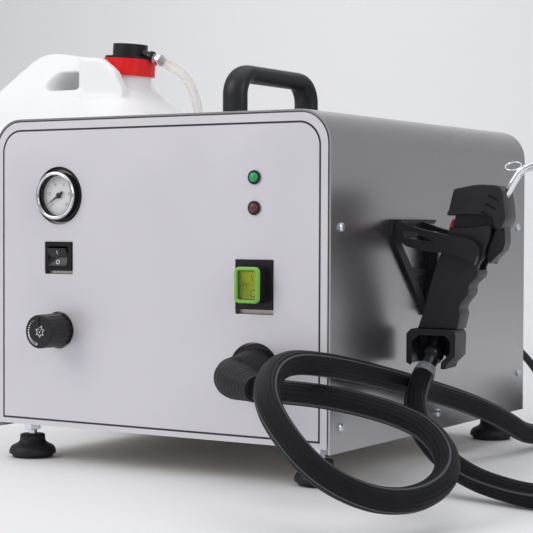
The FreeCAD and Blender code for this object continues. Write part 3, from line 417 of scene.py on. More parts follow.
def apply_mods(ob):
    dg = bpy.context.evaluated_depsgraph_get()
    dg.update()
    me = bpy.data.meshes.new_from_object(ob.evaluated_get(dg), preserve_all_data_layers=True, depsgraph=dg)
    mats = [m for m in ob.data.materials]
    ob.modifiers.clear()
    ob.data = me
    me.materials.clear()
    for m in mats:
        me.materials.append(m)
    return ob


def sharp_smooth(ob, angle=32.0):
    me = ob.data
    for p in me.polygons:
        p.use_smooth = True
    me.set_sharp_from_angle(angle=math.radians(angle))


def refine(node, material, bevel=0.4, segments=2, angle=32.0, slot=None, body="cabinet", dissolve=True, name=None):
    """the node's own shape with broken edges; it takes the node's place"""
    src = frame["nodes"][node]
    bm = bmesh.new()
    bm.from_mesh(src.data)
    bmesh.ops.remove_doubles(bm, verts=bm.verts, dist=1e-6)
    if dissolve:
        bmesh.ops.dissolve_limit(bm, angle_limit=math.radians(1.2), verts=bm.verts, edges=bm.edges)
    me = bpy.data.meshes.new((name or node) + "_look")
    bm.to_mesh(me)
    bm.free()
    ob = link((name or node) + "_look", me, material)
    sharp_smooth(ob, angle)
    if bevel > 0:
        mod = ob.modifiers.new("edges", "BEVEL")
        mod.width = bevel / 1000.0
        mod.segments = segments
        mod.limit_method = "ANGLE"
        mod.angle_limit = math.radians(28)
        mod.use_clamp_overlap = True
        mod.harden_normals = True
        apply_mods(ob)
    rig.ride(ob, body)
    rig.replaces(ob, node)
    if slot:
        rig.slot(ob, slot)
    return ob


def frames_along(pts):
    """unit tangents and a frame carried along without twist"""
    pts = np.array(pts, float)
    t = np.gradient(pts, axis=0)
    t /= np.linalg.norm(t, axis=1)[:, None]
    n = np.zeros_like(t)
    ref = np.array([0, 0, 1.0]) if abs(t[0][2]) < 0.9 else np.array([1.0, 0, 0])
    n0 = ref - t[0] * (ref @ t[0])
    n[0] = n0 / np.linalg.norm(n0)
    for i in range(1, len(pts)):
        v = n[i - 1] - t[i] * (n[i - 1] @ t[i])
        n[i] = v / np.linalg.norm(v)
    return pts, t, n, np.cross(t, n)


def tube_mesh(name, pts, radius, seg, material, ribs=0, rib=0.0, caps=True, squash=None, start_len=0.0, frames=None):
    """tube round a line; radius may be a number or one number per point"""
    P, T, N, Bn = frames_along(pts) if frames is None else frames
    rad = np.full(len(P), radius, float) if np.isscalar(radius) else np.array(radius, float)
    a = np.linspace(0, 2 * math.pi, seg, endpoint=False)
    prof = 1.0 + (rib * np.abs(np.cos(a * ribs / 2.0)) - rib * 0.6 if ribs else 0.0)
    ca, sa = np.cos(a) * prof, np.sin(a) * prof
    if squash:
        ca, sa = ca * squash[0], sa * squash[1]
    co = P[:, None, :] + rad[:, None, None] * (ca[None, :, None] * N[:, None, :] + sa[None, :, None] * Bn[:, None, :])
    n = len(P)
    verts = co.reshape(-1, 3)
    faces, uvs = [], []
    s = np.concatenate([[0], np.cumsum(np.linalg.norm(np.diff(P, axis=0), axis=1))]) + start_len
    for i in range(n - 1):
        for j in range(seg):
            k = (j + 1) % seg
            faces.append((i * seg + j, i * seg + k, (i + 1) * seg + k, (i + 1) * seg + j))
            uvs.append(((s[i], j / seg), (s[i], (j + 1) / seg), (s[i + 1], (j + 1) / seg), (s[i + 1], j / seg)))
    if caps:
        faces.append(tuple(range(seg))[::-1])
        uvs.append(tuple((s[0], j / seg) for j in range(seg))[::-1])
        faces.append(tuple((n - 1) * seg + j for j in range(seg)))
        uvs.append(tuple((s[-1], j / seg) for j in range(seg)))
    me = bpy.data.meshes.new(name)
    me.from_pydata([tuple(q) for q in verts], [], faces)
    lay = me.uv_layers.new(name="tube")
    flat = [c for f in uvs for q in f for c in q]
    lay.data.foreach_set("uv", flat)
    me.validate()
    ob = link(name, me, material)
    if caps:
        for p in me.polygons:
            if len(p.vertices) > 4:
                p.use_smooth = False
    bm = bmesh.new()
    bm.from_mesh(me)
    bmesh.ops.recalc_face_normals(bm, faces=bm.faces)
    bm.to_mesh(me)
    bm.free()
    return ob


def nurbs_curve(name, pts, order=3, resolution=12):
    cu = bpy.data.curves.new(name, "CURVE")
    cu.dimensions = "3D"
    cu.resolution_u = resolution
    sp = cu.splines.new("NURBS")
    sp.points.add(len(pts) - 1)
    for p, q in zip(sp.points, pts):
        p.co = (q[0], q[1], q[2], 1.0)
    sp.order_u = order
    sp.use_endpoint_u = True
    ob = bpy.data.objects.new(name, cu)
    bpy.context.scene.collection.objects.link(ob)
    return ob


def nurbs_points(pts, order=3, resolution=12):
    """points read from the route's own smooth line"""
    ob = nurbs_curve("line_tmp", pts, order, resolution)
    dg = bpy.context.evaluated_depsgraph_get()
    me = bpy.data.meshes.new_from_object(ob.evaluated_get(dg), depsgraph=dg)
    co = np.array([v.co for v in me.vertices], float)
    bpy.data.objects.remove(ob)
    bpy.data.meshes.remove(me)
    keep = [0]
    for i in range(1, len(co)):
        if np.linalg.norm(co[i] - co[keep[-1]]) > 1e-5:
            keep.append(i)
    return co[keep]


def respace(pts, step):
    pts = np.array(pts, float)
    s = np.concatenate([[0], np.cumsum(np.linalg.norm(np.diff(pts, axis=0), axis=1))])
    n = max(2, int(round(s[-1] / step)) + 1)
    q = np.linspace(0, s[-1], n)
    return np.stack([np.interp(q, s, pts[:, i]) for i in range(3)], axis=1)


def lathe(name, profile, origin, axis, material, seg=64, smooth_angle=35):
    """turned piece: profile is (radius, height) in millimetres"""
    ax = Vector(axis).normalized()
    ref = Vector((0, 0, 1)) if abs(ax.z) < 0.9 else Vector((1, 0, 0))
    e1 = (ref - ax * ref.dot(ax)).normalized()
    e2 = ax.cross(e1)
    verts, faces = [], []
    for (rr, h) in profile:
        for j in range(seg):
            a = 2 * math.pi * j / seg
            verts.append(Vector(origin) + ax * (h / 1000) + (e1 * math.cos(a) + e2 * math.sin(a)) * (rr / 1000))
    n = len(profile)
    for i in range(n - 1):
        for j in range(seg):
            k = (j + 1) % seg
            faces.append((i * seg + j, i * seg + k, (i + 1) * seg + k, (i + 1) * seg + j))
    faces.append(tuple(range(seg)))
    faces.append(tuple((n - 1) * seg + j for j in range(seg)))
    me = bpy.data.meshes.new(name)
    me.from_pydata([tuple(q) for q in verts], [], faces)
    bm = bmesh.new()
    bm.from_mesh(me)
    bmesh.ops.remove_doubles(bm, verts=bm.verts, dist=1e-6)
    bmesh.ops.recalc_face_normals(bm, faces=bm.faces)
    bm.to_mesh(me)
    bm.free()
    ob = link(name, me, material)
    sharp_smooth(ob, smooth_angle)
    return ob


def prism_mesh(name, outline, c0, c1, material, place, bevel=0.0, segments=3, taper=None, sharp=35):
    """outline in (u, z) millimetres, pushed from c0 to c1, placed by a function"""
    n = len(outline)
    verts = []
    for cc in (c0, c1):
        for (a, z) in outline:
            k = cc if taper is None else math.copysign(taper(z), cc)
            verts.append(tuple(place(a, k, z)))
    faces = [tuple(range(n)), tuple(range(2 * n - 1, n - 1, -1))]
    for i in range(n):
        j = (i + 1) % n
        faces.append((i, i + n, j + n, j))
    me = bpy.data.meshes.new(name)
    me.from_pydata(verts, [], faces)
    bm = bmesh.new()
    bm.from_mesh(me)
    bmesh.ops.recalc_face_normals(bm, faces=bm.faces)
    bm.to_mesh(me)
    bm.free()
    ob = link(name, me, material)
    if bevel:
        mod = ob.modifiers.new("edges", "BEVEL")
        mod.width = bevel / 1000
        mod.segments = segments
        mod.limit_method = "ANGLE"
        mod.angle_limit = math.radians(40)
        mod.use_clamp_overlap = True
        apply_mods(ob)
    sharp_smooth(ob, sharp)
    return ob


def cut(ob, *tools):
    for t in tools:
        mod = ob.modifiers.new("cut", "BOOLEAN")
        mod.operation = "DIFFERENCE"
        mod.solver = "EXACT"
        mod.object = t
    apply_mods(ob)
    for t in tools:
        bpy.data.objects.remove(t)
    return ob


def soften(ob, voxel, rounds=6, factor=0.5):
    """moulded look: one even skin with rounded edges"""
    mod = ob.modifiers.new("skin", "REMESH")
    mod.mode = "VOXEL"
    mod.voxel_size = voxel / 1000
    mod.use_smooth_shade = True
    s = ob.modifiers.new("soft", "SMOOTH")
    s.factor = factor
    s.iterations = rounds
    apply_mods(ob)
    for p in ob.data.polygons:
        p.use_smooth = True
    return ob


def joined(name, obs, material):
    bm = bmesh.new()
    for o in obs:
        me = o.data.copy()
        me.transform(o.matrix_world)
        bm.from_mesh(me)
        bpy.data.meshes.remove(me)
    me = bpy.data.meshes.new(name)
    bm.to_mesh(me)
    bm.free()
    for o in obs:
        bpy.data.objects.remove(o)
    return link(name, me, material)


def smooth_loop(points, per=8, closed=True):
    """soft outline through the given points"""
    P = np.array(points, float)
    n = len(P)
    out = []
    for i in range(n if closed else n - 1):
        p0, p1, p2, p3 = P[(i - 1) % n], P[i], P[(i + 1) % n], P[(i + 2) % n]
        if not closed:
            if i == 0:
                p0 = 2 * p1 - p2
            if i + 2 > n - 1:
                p3 = 2 * p2 - p1
        for j in range(per):
            t = j / per
            out.append(0.5 * ((2 * p1) + (-p0 + p2) * t + (2 * p0 - 5 * p1 + 4 * p2 - p3) * t * t + (-p0 + 3 * p1 - 3 * p2 + p3) * t ** 3))
    if not closed:
        out.append(P[-1])
    return [tuple(q) for q in out]


def give(ob, body, nodes=(), slot=None):
    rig.ride(ob, body)
    if nodes:
        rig.replaces(ob, *nodes)
    if slot:
        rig.slot(ob, slot)
    return ob


# ------------------------------------------------------------------ cabinet
refine("cover_shell", steel, 0.25, 2, slot="steel_cover")
refine("front_fascia", fascia_m, 0.22, 2, slot="fascia_silver")
refine("front_chassis_plate", sheet_m, 0.2, 1, slot="sheet_steel")
refine("base_tray", sheet_m, 0.2, 1, slot="sheet_steel")
refine("rear_panel", sheet_m, 0.2, 1, slot="sheet_steel")
refine("case_screws", zinc, 0.25, 2, slot="zinc")
refine("handle_bolts", zinc, 0.25, 2, slot="zinc")
refine("foot_studs", zinc, 0.3, 1, slot="zinc")
refine("foot_locknuts", zinc, 0.35, 2, slot="zinc")
refine("gun_holder", plastic, 0.7, 3, slot="black_plastic")
for n, m, sl in (("boiler_vessel", sheet_m, "vessel_steel"), ("boiler_heater", sheet_m, "vessel_steel"), ("boiler_brackets", sheet_m, "sheet_steel"), ("safety_valve", brass, "brass"),
                 ("pressure_switch", grey_m, "pump_grey"), ("steam_solenoid", grey_m, "pump_grey"), ("steam_pipe", copper, "copper_pipe"), ("water_pump", grey_m, "pump_grey"),
                 ("control_board", board_m, "board_green"), ("water_inlet_barb", brass, "brass"), ("mains_gland", plastic, "black_plastic"), ("regulator_valve", brass, "brass"),
                 ("outlet_fitting", gloss_black, "brass"), ("gauge_case", enamel, "gauge_black")):
    refine(n, m, 0.25, 1, slot=sl)

# printed border on the fascia: a thin line that follows its outline
def border(x0, x1, z0, z1, rad, w, y):
    def loop(g):
        pts = [(x0 + g, z0 + g)]
        pts += [(x1 - g, z0 + g)]
        cx, cz = x1 - rad, z1 - rad
        for i in range(17):
            a = math.radians(90 * i / 16)
            pts.append((cx + (rad - g) * math.cos(a), cz + (rad - g) * math.sin(a)))
        cx = x0 + rad
        for i in range(17):
            a = math.radians(90 + 90 * i / 16)
            pts.append((cx + (rad - g) * math.cos(a), cz + (rad - g) * math.sin(a)))
        return pts
    o, i2 = loop(0), loop(w)
    n = len(o)
    verts = [tuple(M(a, y, z)) for a, z in o] + [tuple(M(a, y, z)) for a, z in i2]
    verts += [tuple(M(a, y + 0.06, z)) for a, z in o] + [tuple(M(a, y + 0.06, z)) for a, z in i2]
    faces = []
    for k in range(n):
        j = (k + 1) % n
        faces.append((k, j, n + j, n + k))
        faces.append((2 * n + k, 3 * n + k, 3 * n + j, 2 * n + j))
        faces.append((k, 2 * n + k, 2 * n + j, j))
        faces.append((n + k, n + j, 3 * n + j, 3 * n + k))
    me = bpy.data.meshes.new("fascia_border_line")
    me.from_pydata(verts, [], faces)
    return link("fascia_border_line", me, ink, False)


give(border(2.7 + 6.0, 335 - 2.7 - 6.0, 31.4 + 4.5, 291.3 - 6.4, 19.5, 1.6, -0.07), "cabinet", (), "switch_black")

# ------------------------------------------------------------------ feet
foot_profile = [(4.2, 20.0), (9.6, 20.0), (10.5, 19.6), (10.9, 18.6), (11.0, 16.5), (11.2, 14.6), (11.9, 13.2), (13.3, 12.0), (15.6, 10.9), (17.9, 9.7), (19.3, 8.2), (20.1, 6.3), (20.5, 4.6), (20.45, 3.6), (19.9, 3.0), (18.6, 2.6), (17.9, 1.6), (17.5, 0.35), (16.6, 0.0), (4.2, 0.0)]
for i, (x, y) in enumerate(((22.0, 23.6), (313.0, 23.6), (22.0, 354.9), (313.0, 354.9))):
    f = lathe("foot_%d" % i, foot_profile, M(x, y, 0), (0, 0, 1), rubber, 72, 60)
    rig.ride(f, "cabinet")
    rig.slot(f, "black_rubber")
    if i == 0:
        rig.replaces(f, "rubber_feet")

# ------------------------------------------------------------------ bow handle
HY0, HY1, HTOP = 125.0, 249.0, 346.0
zt, R = HTOP - 8.0, 20.0
line = [(HY0, 293.9)]
line += [(HY0, 293.9 + (zt - R - 293.9) * k / 6) for k in range(1, 6)]
for k in range(0, 13):
    a = math.pi - math.pi / 2 * k / 12
    line.append((HY0 + R + R * math.cos(a), zt - R + R * math.sin(a)))
for k in range(1, 12):
    line.append((HY0 + R + (HY1 - HY0 - 2 * R) * k / 12, zt))
for k in range(0, 13):
    a = math.pi / 2 - math.pi / 2 * k / 12
    line.append((HY1 - R + R * math.cos(a), zt - R + R * math.sin(a)))
line += [(HY1, zt - R - (zt - R - 293.9) * k / 6) for k in range(1, 7)]
pts = [tuple(M(167.5, a, z)) for a, z in line]
P, T, N, Bn = frames_along(pts)
N = np.tile(np.array([1.0, 0, 0]), (len(P), 1))
Bn = np.cross(T, N)
h = tube_mesh("bow_handle", pts, 0.008, 56, handle_m, squash=(1.5, 1.0), frames=(P, T, N, Bn))
give(h, "cabinet", ("top_handle",), "black_plastic")


# ------------------------------------------------------------------ front panel helpers
def ring_lathe(name, profile, origin, axis, material, seg=96, smooth_angle=35):
    """turned ring: the profile closes on itself"""
    ax = Vector(axis).normalized()
    ref = Vector((0, 0, 1)) if abs(ax.z) < 0.9 else Vector((1, 0, 0))
    e1 = (ref - ax * ref.dot(ax)).normalized()
    e2 = ax.cross(e1)
    verts, faces = [], []
    n = len(profile)
    for (rr, hh) in profile:
        for j in range(seg):
            a = 2 * math.pi * j / seg
            verts.append(Vector(origin) + ax * (hh / 1000) + (e1 * math.cos(a) + e2 * math.sin(a)) * (rr / 1000))
    for i in range(n):
        i2 = (i + 1) % n
        for j in range(seg):
            k = (j + 1) % seg
            faces.append((i * seg + j, i * seg + k, i2 * seg + k, i2 * seg + j))
    me = bpy.data.meshes.new(name)
    me.from_pydata([tuple(q) for q in verts], [], faces)
    bm = bmesh.new()
    bm.from_mesh(me)
    bmesh.ops.recalc_face_normals(bm, faces=bm.faces)
    bm.to_mesh(me)
    bm.free()
    ob = link(name, me, material)
    sharp_smooth(ob, smooth_angle)
    return ob


def plates(name, shapes, place, normal, thick, material):
    """thin printed shapes: polygons laid on a face, each a small raised plate"""
    verts, faces = [], []
    nv = Vector(normal).normalized() * thick
    for poly in shapes:
        b0 = len(verts)
        n = len(poly)
        low = [place(*q) for q in poly]
        verts += [tuple(q) for q in low] + [tuple(q + nv) for q in low]
        faces.append(tuple(range(b0 + n, b0 + 2 * n)))
        faces.append(tuple(range(b0 + n - 1, b0 - 1, -1)))
        for i in range(n):
            j = (i + 1) % n
            faces.append((b0 + i, b0 + j, b0 + n + j, b0 + n + i))
    me = bpy.data.meshes.new(name)
    me.from_pydata(verts, [], faces)
    bm = bmesh.new()
    bm.from_mesh(me)
    bmesh.ops.recalc_face_normals(bm, faces=bm.faces)
    bm.to_mesh(me)
    bm.free()
    return link(name, me, material, False)


def disc(cx, cy, rad, n=20, sq=1.0):
    return [(cx + rad * math.cos(2 * math.pi * i / n), cy + rad * sq * math.sin(2 * math.pi * i / n)) for i in range(n)]


def bar(x0, y0, x1, y1, w):
    dx, dy = x1 - x0, y1 - y0
    k = math.hypot(dx, dy)
    nx, ny = -dy / k * w / 2, dx / k * w / 2
    return [(x0 + nx, y0 + ny), (x0 - nx, y0 - ny), (x1 - nx, y1 - ny), (x1 + nx, y1 + ny)]


def loop_bars(pts, w, closed=True):
    n = len(pts)
    return [bar(*pts[i], *pts[(i + 1) % n], w) for i in range(n if closed else n - 1)]


# seven-stroke digits, drawn as thin bars
STROKES = {
    "0": [(0, 0, 0, 2), (1, 0, 1, 2), (0, 0, 1, 0), (0, 2, 1, 2)],
    "1": [(0.6, 0, 0.6, 2), (0.6, 2, 0.15, 1.6)],
    "2": [(0, 2, 1, 2), (1, 2, 1, 1), (1, 1, 0, 1), (0, 1, 0, 0), (0, 0, 1, 0)],
    "4": [(0, 2, 0, 1), (0, 1, 1, 1), (1, 2, 1, 0)],
    "6": [(1, 2, 0, 2), (0, 2, 0, 0), (0, 0, 1, 0), (1, 0, 1, 1), (1, 1, 0, 1)],
    "8": [(0, 0, 0, 2), (1, 0, 1, 2), (0, 0, 1, 0), (0, 2, 1, 2), (0, 1, 1, 1)],
}


def number(text, cx, cy, h, w=0.32):
    out = []
    k = h / 2.0
    adv = 1.55 * k
    x = cx - (len(text) - 1) * adv / 2 - 0.5 * k
    for ch in text:
        for (a, b2, c2, d2) in STROKES[ch]:
            out.append(bar(x + a * k, cy - k + b2 * k, x + c2 * k, cy - k + d2 * k, w))
        x += adv
    return out


XL, XR = 70.2, 266.3
Z_GAUGE, Z_SW, Z_KNOB = 228.2, 176.6, 114.0
Z_LAMP1, Z_LAMP2, Z_POWER, Z_OUT = 241.5, 217.4, 157.0, 87.8

# ------------------------------------------------------------------ gauge
bz = ring_lathe("gauge_bezel_look", [(17.4, -5.1), (17.35, -5.9), (17.6, -6.45), (18.2, -6.75), (19.0, -6.75), (19.7, -6.4), (20.15, -5.7), (20.3, -4.6), (19.6, -4.4)], M(XL, 0, Z_GAUGE), (0, 1, 0), rim_m, 128, 40)
sleeve = ring_lathe("gauge_sleeve", [(20.2, -4.35), (20.2, 1.9), (19.6, 1.9), (19.6, -4.35)], M(XL, 0, Z_GAUGE), (0, 1, 0), gloss_black, 128, 40)
give(sleeve, "cabinet", (), "gauge_rim")
give(bz, "cabinet", ("gauge_bezel",), "gauge_rim")
gs = ring_lathe("gauge_seat", [(17.9, -3.4), (16.9, -3.4), (16.7, 0.6), (17.9, 0.9)], M(XL, 0, Z_GAUGE), (0, 1, 0), gloss_black, 96)
give(gs, "cabinet", (), "gauge_black")
gk = ring_lathe("gauge_gasket", [(20.4, 1.7), (23.3, 2.0), (24.0, 2.6), (24.2, 4.9), (20.4, 4.9)], M(XL - 0.3, 0, Z_GAUGE + 1.7), (0, 1, 0), rubber, 96)
give(gk, "cabinet", (), "black_rubber")
dl = lathe("gauge_dial_look", [(0.0, 1.0), (17.2, 1.0), (17.9, 1.1), (17.95, 2.0), (0.0, 2.0)], M(XL, 0, Z_GAUGE), (0, 1, 0), dial_m, 96)
give(dl, "cabinet", ("gauge_dial",), "dial_white")


def on_dial(a, b2):
    return M(XL + a, 0.96, Z_GAUGE + b2)


marks, fine = [], []
for i in range(51):
    a = math.radians(225 - 270 * i / 50)
    ca, sa = math.cos(a), math.sin(a)
    if i % 5 == 0:
        marks.append(bar(12.9 * ca, 12.9 * sa, 15.7 * ca, 15.7 * sa, 0.42 if i % 10 == 0 else 0.3))
    else:
        fine.append(bar(14.3 * ca, 14.3 * sa, 15.7 * ca, 15.7 * sa, 0.18))
for i, tx in enumerate(("0", "2", "4", "6", "8", "10")):
    a = math.radians(225 - 54 * i)
    marks += number(tx, 10.4 * math.cos(a), 10.4 * math.sin(a), 2.5, 0.34)
fine += loop_bars(disc(0, 0, 15.7, 72), 0.16)
give(plates("gauge_marks", marks, on_dial, (0, -1, 0), 0.00003, ink_soft), "cabinet", (), "dial_white")
give(plates("gauge_fine_marks", fine, on_dial, (0, -1, 0), 0.00003, ink_soft), "cabinet", (), "dial_white")
ln = refine("gauge_lens", clear_m, 0.15, 2, slot="clear_lens")
ND = math.radians(213.0)
hub = lathe("gauge_needle_hub", [(0.0, -1.5), (1.7, -1.5), (2.2, -1.25), (2.4, -0.7), (2.4, 0.2), (0.78, 0.2)], M(XL, 0, Z_GAUGE), (0, 1, 0), ink, 48)
nd, nn = (math.cos(ND), math.sin(ND)), (-math.sin(ND), math.cos(ND))
blade = [(-5.4, -1.05), (-5.4, 1.05), (0.0, 0.95), (9.0, 0.42), (13.3, 0.12), (13.3, -0.12), (9.0, -0.42), (0.0, -0.95)]
blade = [(nd[0] * a + nn[0] * b2, nd[1] * a + nn[1] * b2) for a, b2 in blade]
bl = plates("gauge_needle_blade", [blade], lambda a, b2: M(XL + a, -0.45, Z_GAUGE + b2), (0, -1, 0), 0.0005, ink)
needle = joined("gauge_needle_look", [hub, bl], ink)
sharp_smooth(needle, 30)
give(needle, "needle", ("gauge_needle",), "switch_black")

# ------------------------------------------------------------------ switches
refine("hot_water_switch_body", gloss_black, 0.7, 3, slot="switch_black")
refine("power_switch_body", gloss_black, 0.9, 3, slot="switch_black")
refine("hot_water_rocker", gloss_black, 0.7, 3, slot="switch_black", body="hot_water_rocker", angle=50)
refine("power_rocker", yellow, 0.8, 3, slot="switch_green", body="power_rocker", angle=50)


def rocker_marks(name, xc, zc, yp, half_h, rise, tilt, wide, tall, material, body, slot, w=0.7):
    t = math.radians(tilt)

    def turn(y, z):
        return y * math.cos(t) - z * math.sin(t), y * math.sin(t) + z * math.cos(t)

    out = []
    for sign in (1, -1):
        p0, p1 = turn(-0.45 * rise, 0.0), turn(-rise, sign * half_h)
        dy, dz = p1[0] - p0[0], p1[1] - p0[1]
        k = math.hypot(dy, dz)
        dy, dz = dy / k, dz / k
        ny, nz = (-dz, dy) if sign > 0 else (dz, -dy)
        mid = 0.52 * k

        def place(a, b2, p0=p0, dy=dy, dz=dz, ny=ny, nz=nz, mid=mid):
            return M(xc + a, yp + p0[0] + dy * (mid + b2) + ny * 0.02, zc + p0[1] + dz * (mid + b2) + nz * 0.02)

        if sign > 0:
            shapes = [bar(0, -tall / 2, 0, tall / 2, w)]
        else:
            shapes = loop_bars(disc(0, 0, wide / 2, 24), w * 0.9)
        out.append(plates("%s_%d" % (name, sign), shapes, place, (0, ny, nz), 0.00008, material))
    ob = joined(name, out, material)
    for p in ob.data.polygons:
        p.use_smooth = False
    give(ob, body, (), slot)
    return ob


rocker_marks("hot_water_marks", XL, Z_SW, 2.5, 7.9, 5.6, 8.0, 3.3, 3.6, white_ink, "hot_water_rocker", "switch_black", 0.62)
rocker_marks("power_marks", XR, Z_POWER, 3.5, 11.9, 8.0, 8.0, 5.2, 6.0, ink, "power_rocker", "switch_black", 0.85)

# splash-proof boot: a rounded frame with a thin clear skin in its window
hood_m, nt, b = basic("boot_skin", (0.55, 0.72, 0.10), 0.15)
b.inputs["Alpha"].default_value = 0.08
v = coords(nt)
c = noise(nt, v, 120.0, 3.0)
nt.links.new(mixed(nt, c, (0.50, 0.68, 0.08), (0.62, 0.80, 0.14)), b.inputs["Base Color"])
bump(nt, b, c, 0.15, 0.0003)


def rr(hw, hh, rad, n=10):
    pts = []
    for cx, cz, a0 in ((hw - rad, hh - rad, 0), (-hw + rad, hh - rad, 90), (-hw + rad, -hh + rad, 180), (hw - rad, -hh + rad, 270)):
        for i in range(n + 1):
            a = math.radians(a0 + 90 * i / n)
            pts.append((cx + rad * math.cos(a), cz + rad * math.sin(a)))
    return pts


def stacked(name, layers, material, cx, cz, closed_ring=True, caps=False):
    """rings of outlines joined one to the next: (half width, half height, corner, y)"""
    verts, faces = [], []
    n = None
    for (hw, hh, rad, y) in layers:
        pts = rr(hw, hh, rad)
        n = len(pts)
        verts += [tuple(M(cx + a, y, cz + z)) for a, z in pts]
    L = len(layers)
    for i in range(L if closed_ring else L - 1):
        i2 = (i + 1) % L
        for j in range(n):
            k = (j + 1) % n
            faces.append((i * n + j, i * n + k, i2 * n + k, i2 * n + j))
    if caps:
        faces.append(tuple(range(n)))
        faces.append(tuple(range((L - 1) * n, L * n)))
    me = bpy.data.meshes.new(name)
    me.from_pydata(verts, [], faces)
    bm = bmesh.new()
    bm.from_mesh(me)
    bmesh.ops.recalc_face_normals(bm, faces=bm.faces)
    bm.to_mesh(me)
    bm.free()
    ob = link(name, me, material)
    sharp_smooth(ob, 40)
    return ob


block = stacked("power_boot_sleeve", [(11.5, 14.6, 3.6, -1.05), (11.6, 14.7, 3.8, -9.3), (10.2, 13.3, 2.0, -9.3), (10.2, 13.3, 2.0, -1.05)], gloss_black, XR, Z_POWER)
give(block, "cabinet", (), "switch_black")
boot = stacked("power_boot_frame", [(11.1, 14.2, 3.8, -9.35), (11.2, 14.3, 4.0, -11.2), (10.8, 13.9, 3.8, -12.5), (10.0, 13.1, 3.4, -13.0), (8.9, 12.0, 2.4, -12.8), (8.35, 11.45, 1.7, -12.0), (8.2, 11.3, 1.5, -10.4), (8.6, 11.7, 1.5, -9.35)], lime, XR, Z_POWER)
give(boot, "cabinet", ("power_switch_boot",), "boot_green")
skin = stacked("power_boot_skin", [(8.3, 11.4, 1.6, -10.2), (6.0, 8.5, 1.6, -10.7), (2.0, 3.0, 1.2, -10.9), (2.0, 3.0, 1.2, -10.65), (6.0, 8.5, 1.6, -10.45), (8.3, 11.4, 1.6, -9.95)], hood_m, XR, Z_POWER, False, True)
give(skin, "cabinet", (), "boot_green")
lip = stacked("power_boot_shadow_line", [(8.5, 11.6, 1.7, -11.2), (7.7, 10.8, 1.4, -11.1), (7.7, 10.8, 1.4, -10.6), (8.5, 11.6, 1.7, -10.6)], grained("boot_dark", (0.05, 0.11, 0.05), 0.4, 0.0, 500, 0.1, 0.00008), XR, Z_POWER)
give(lip, "cabinet", (), "boot_green")

# ------------------------------------------------------------------ regulator knob
refine("regulator_knob", plastic, 0.5, 3, slot="black_plastic", body="regulator_knob", angle=40)


def on_knob(a, b2):
    return M(XL + a, -27.02, Z_KNOB + b2)


shapes = []
for i in range(13):
    a = math.radians(118 + 11.2 * i)
    shapes.append(disc(10.6 * math.cos(a), 10.6 * math.sin(a), 0.28 + 0.075 * i, 16))
    if i > 6:
        a2 = a + math.radians(5.6)
        shapes.append(disc(10.6 * math.cos(a2), 10.6 * math.sin(a2), 0.26 + 0.075 * i, 16))
splash = []
for i in range(14):
    a = 2 * math.pi * i / 14 + 0.2
    q = 5.1 if i % 2 == 0 else 2.9
    splash.append((1.6 + q * math.cos(a) * 0.9, 0.4 + q * math.sin(a)))
shapes += loop_bars(splash, 0.45)
shapes += [disc(1.2, -0.4, 0.55), disc(2.3, 1.3, 0.4), disc(0.3, 1.6, 0.35)]
give(plates("knob_print", shapes, on_knob, (0, -1, 0), 0.00004, white_ink), "regulator_knob", (), "dial_white")

# ------------------------------------------------------------------ lamps
refine("lamp_holders", rubber, 0.3, 2, slot="switch_black")
refine("lamp_ready", lamp_g, 0.0, slot="lamp_green", angle=70)
refine("lamp_water", lamp_r, 0.0, slot="lamp_red", angle=70)

# ------------------------------------------------------------------ outlet elbow, wound with tape
ctrl = [(266.3, 1.4, 87.5), (266.3, -9, 87.4), (266.2, -21, 87.3), (267.2, -31.5, 87.2), (272.0, -40.0, 86.6), (280.6, -45.8, 85.5), (292.0, -52.0, 84.0), (305.9, -60.1, 82.1)]
ln = nurbs_points([M(*q) for q in ctrl], 4, 24)
ln = respace(ln, 0.0006)
s = np.concatenate([[0], np.cumsum(np.linalg.norm(np.diff(ln, axis=0), axis=1))]) * 1000
tot = s[-1]
rad = []
for q in s:
    if q < 26:
        base = 19.3 - 4.2 * (q / 26.0) ** 0.8
    elif q < 52:
        base = 15.1 - 0.6 * (q - 26) / 26
    else:
        base = 14.5 - 4.6 * min(1.0, (q - 52) / max(1.0, tot - 54))
    w = (q / 4.3) % 1.0
    rad.append((base + 0.55 * (w ** 2) - 0.25) / 1000)
el = tube_mesh("outlet_elbow_look", ln, rad, 72, rubber)
give(el, "cabinet", ("outlet_elbow",), "elbow_black")
cap_rings = ring_lathe("outlet_elbow_rings", [(2.0, -1.2), (3.2, -1.9), (4.4, -1.2), (5.6, -1.7), (7.0, -0.9), (8.2, -1.3), (9.6, -0.2), (10.4, 2.6), (2.0, 2.6)], M(268.6, -46.5, 86.9), (0.1, 1, 0.02), rubber, 72, 60)
give(cap_rings, "cabinet", (), "elbow_black")

# ------------------------------------------------------------------ steam gun
GN = Vector((math.sin(GUN_YAW), -math.cos(GUN_YAW), 0.0))


def place_gun(a, c0, z):
    return G(a, c0, z)


def half_thick(z):
    return 13.2 + (15.3 - 13.2) * min(1.0, max(0.0, (z - 118) / 96.0))


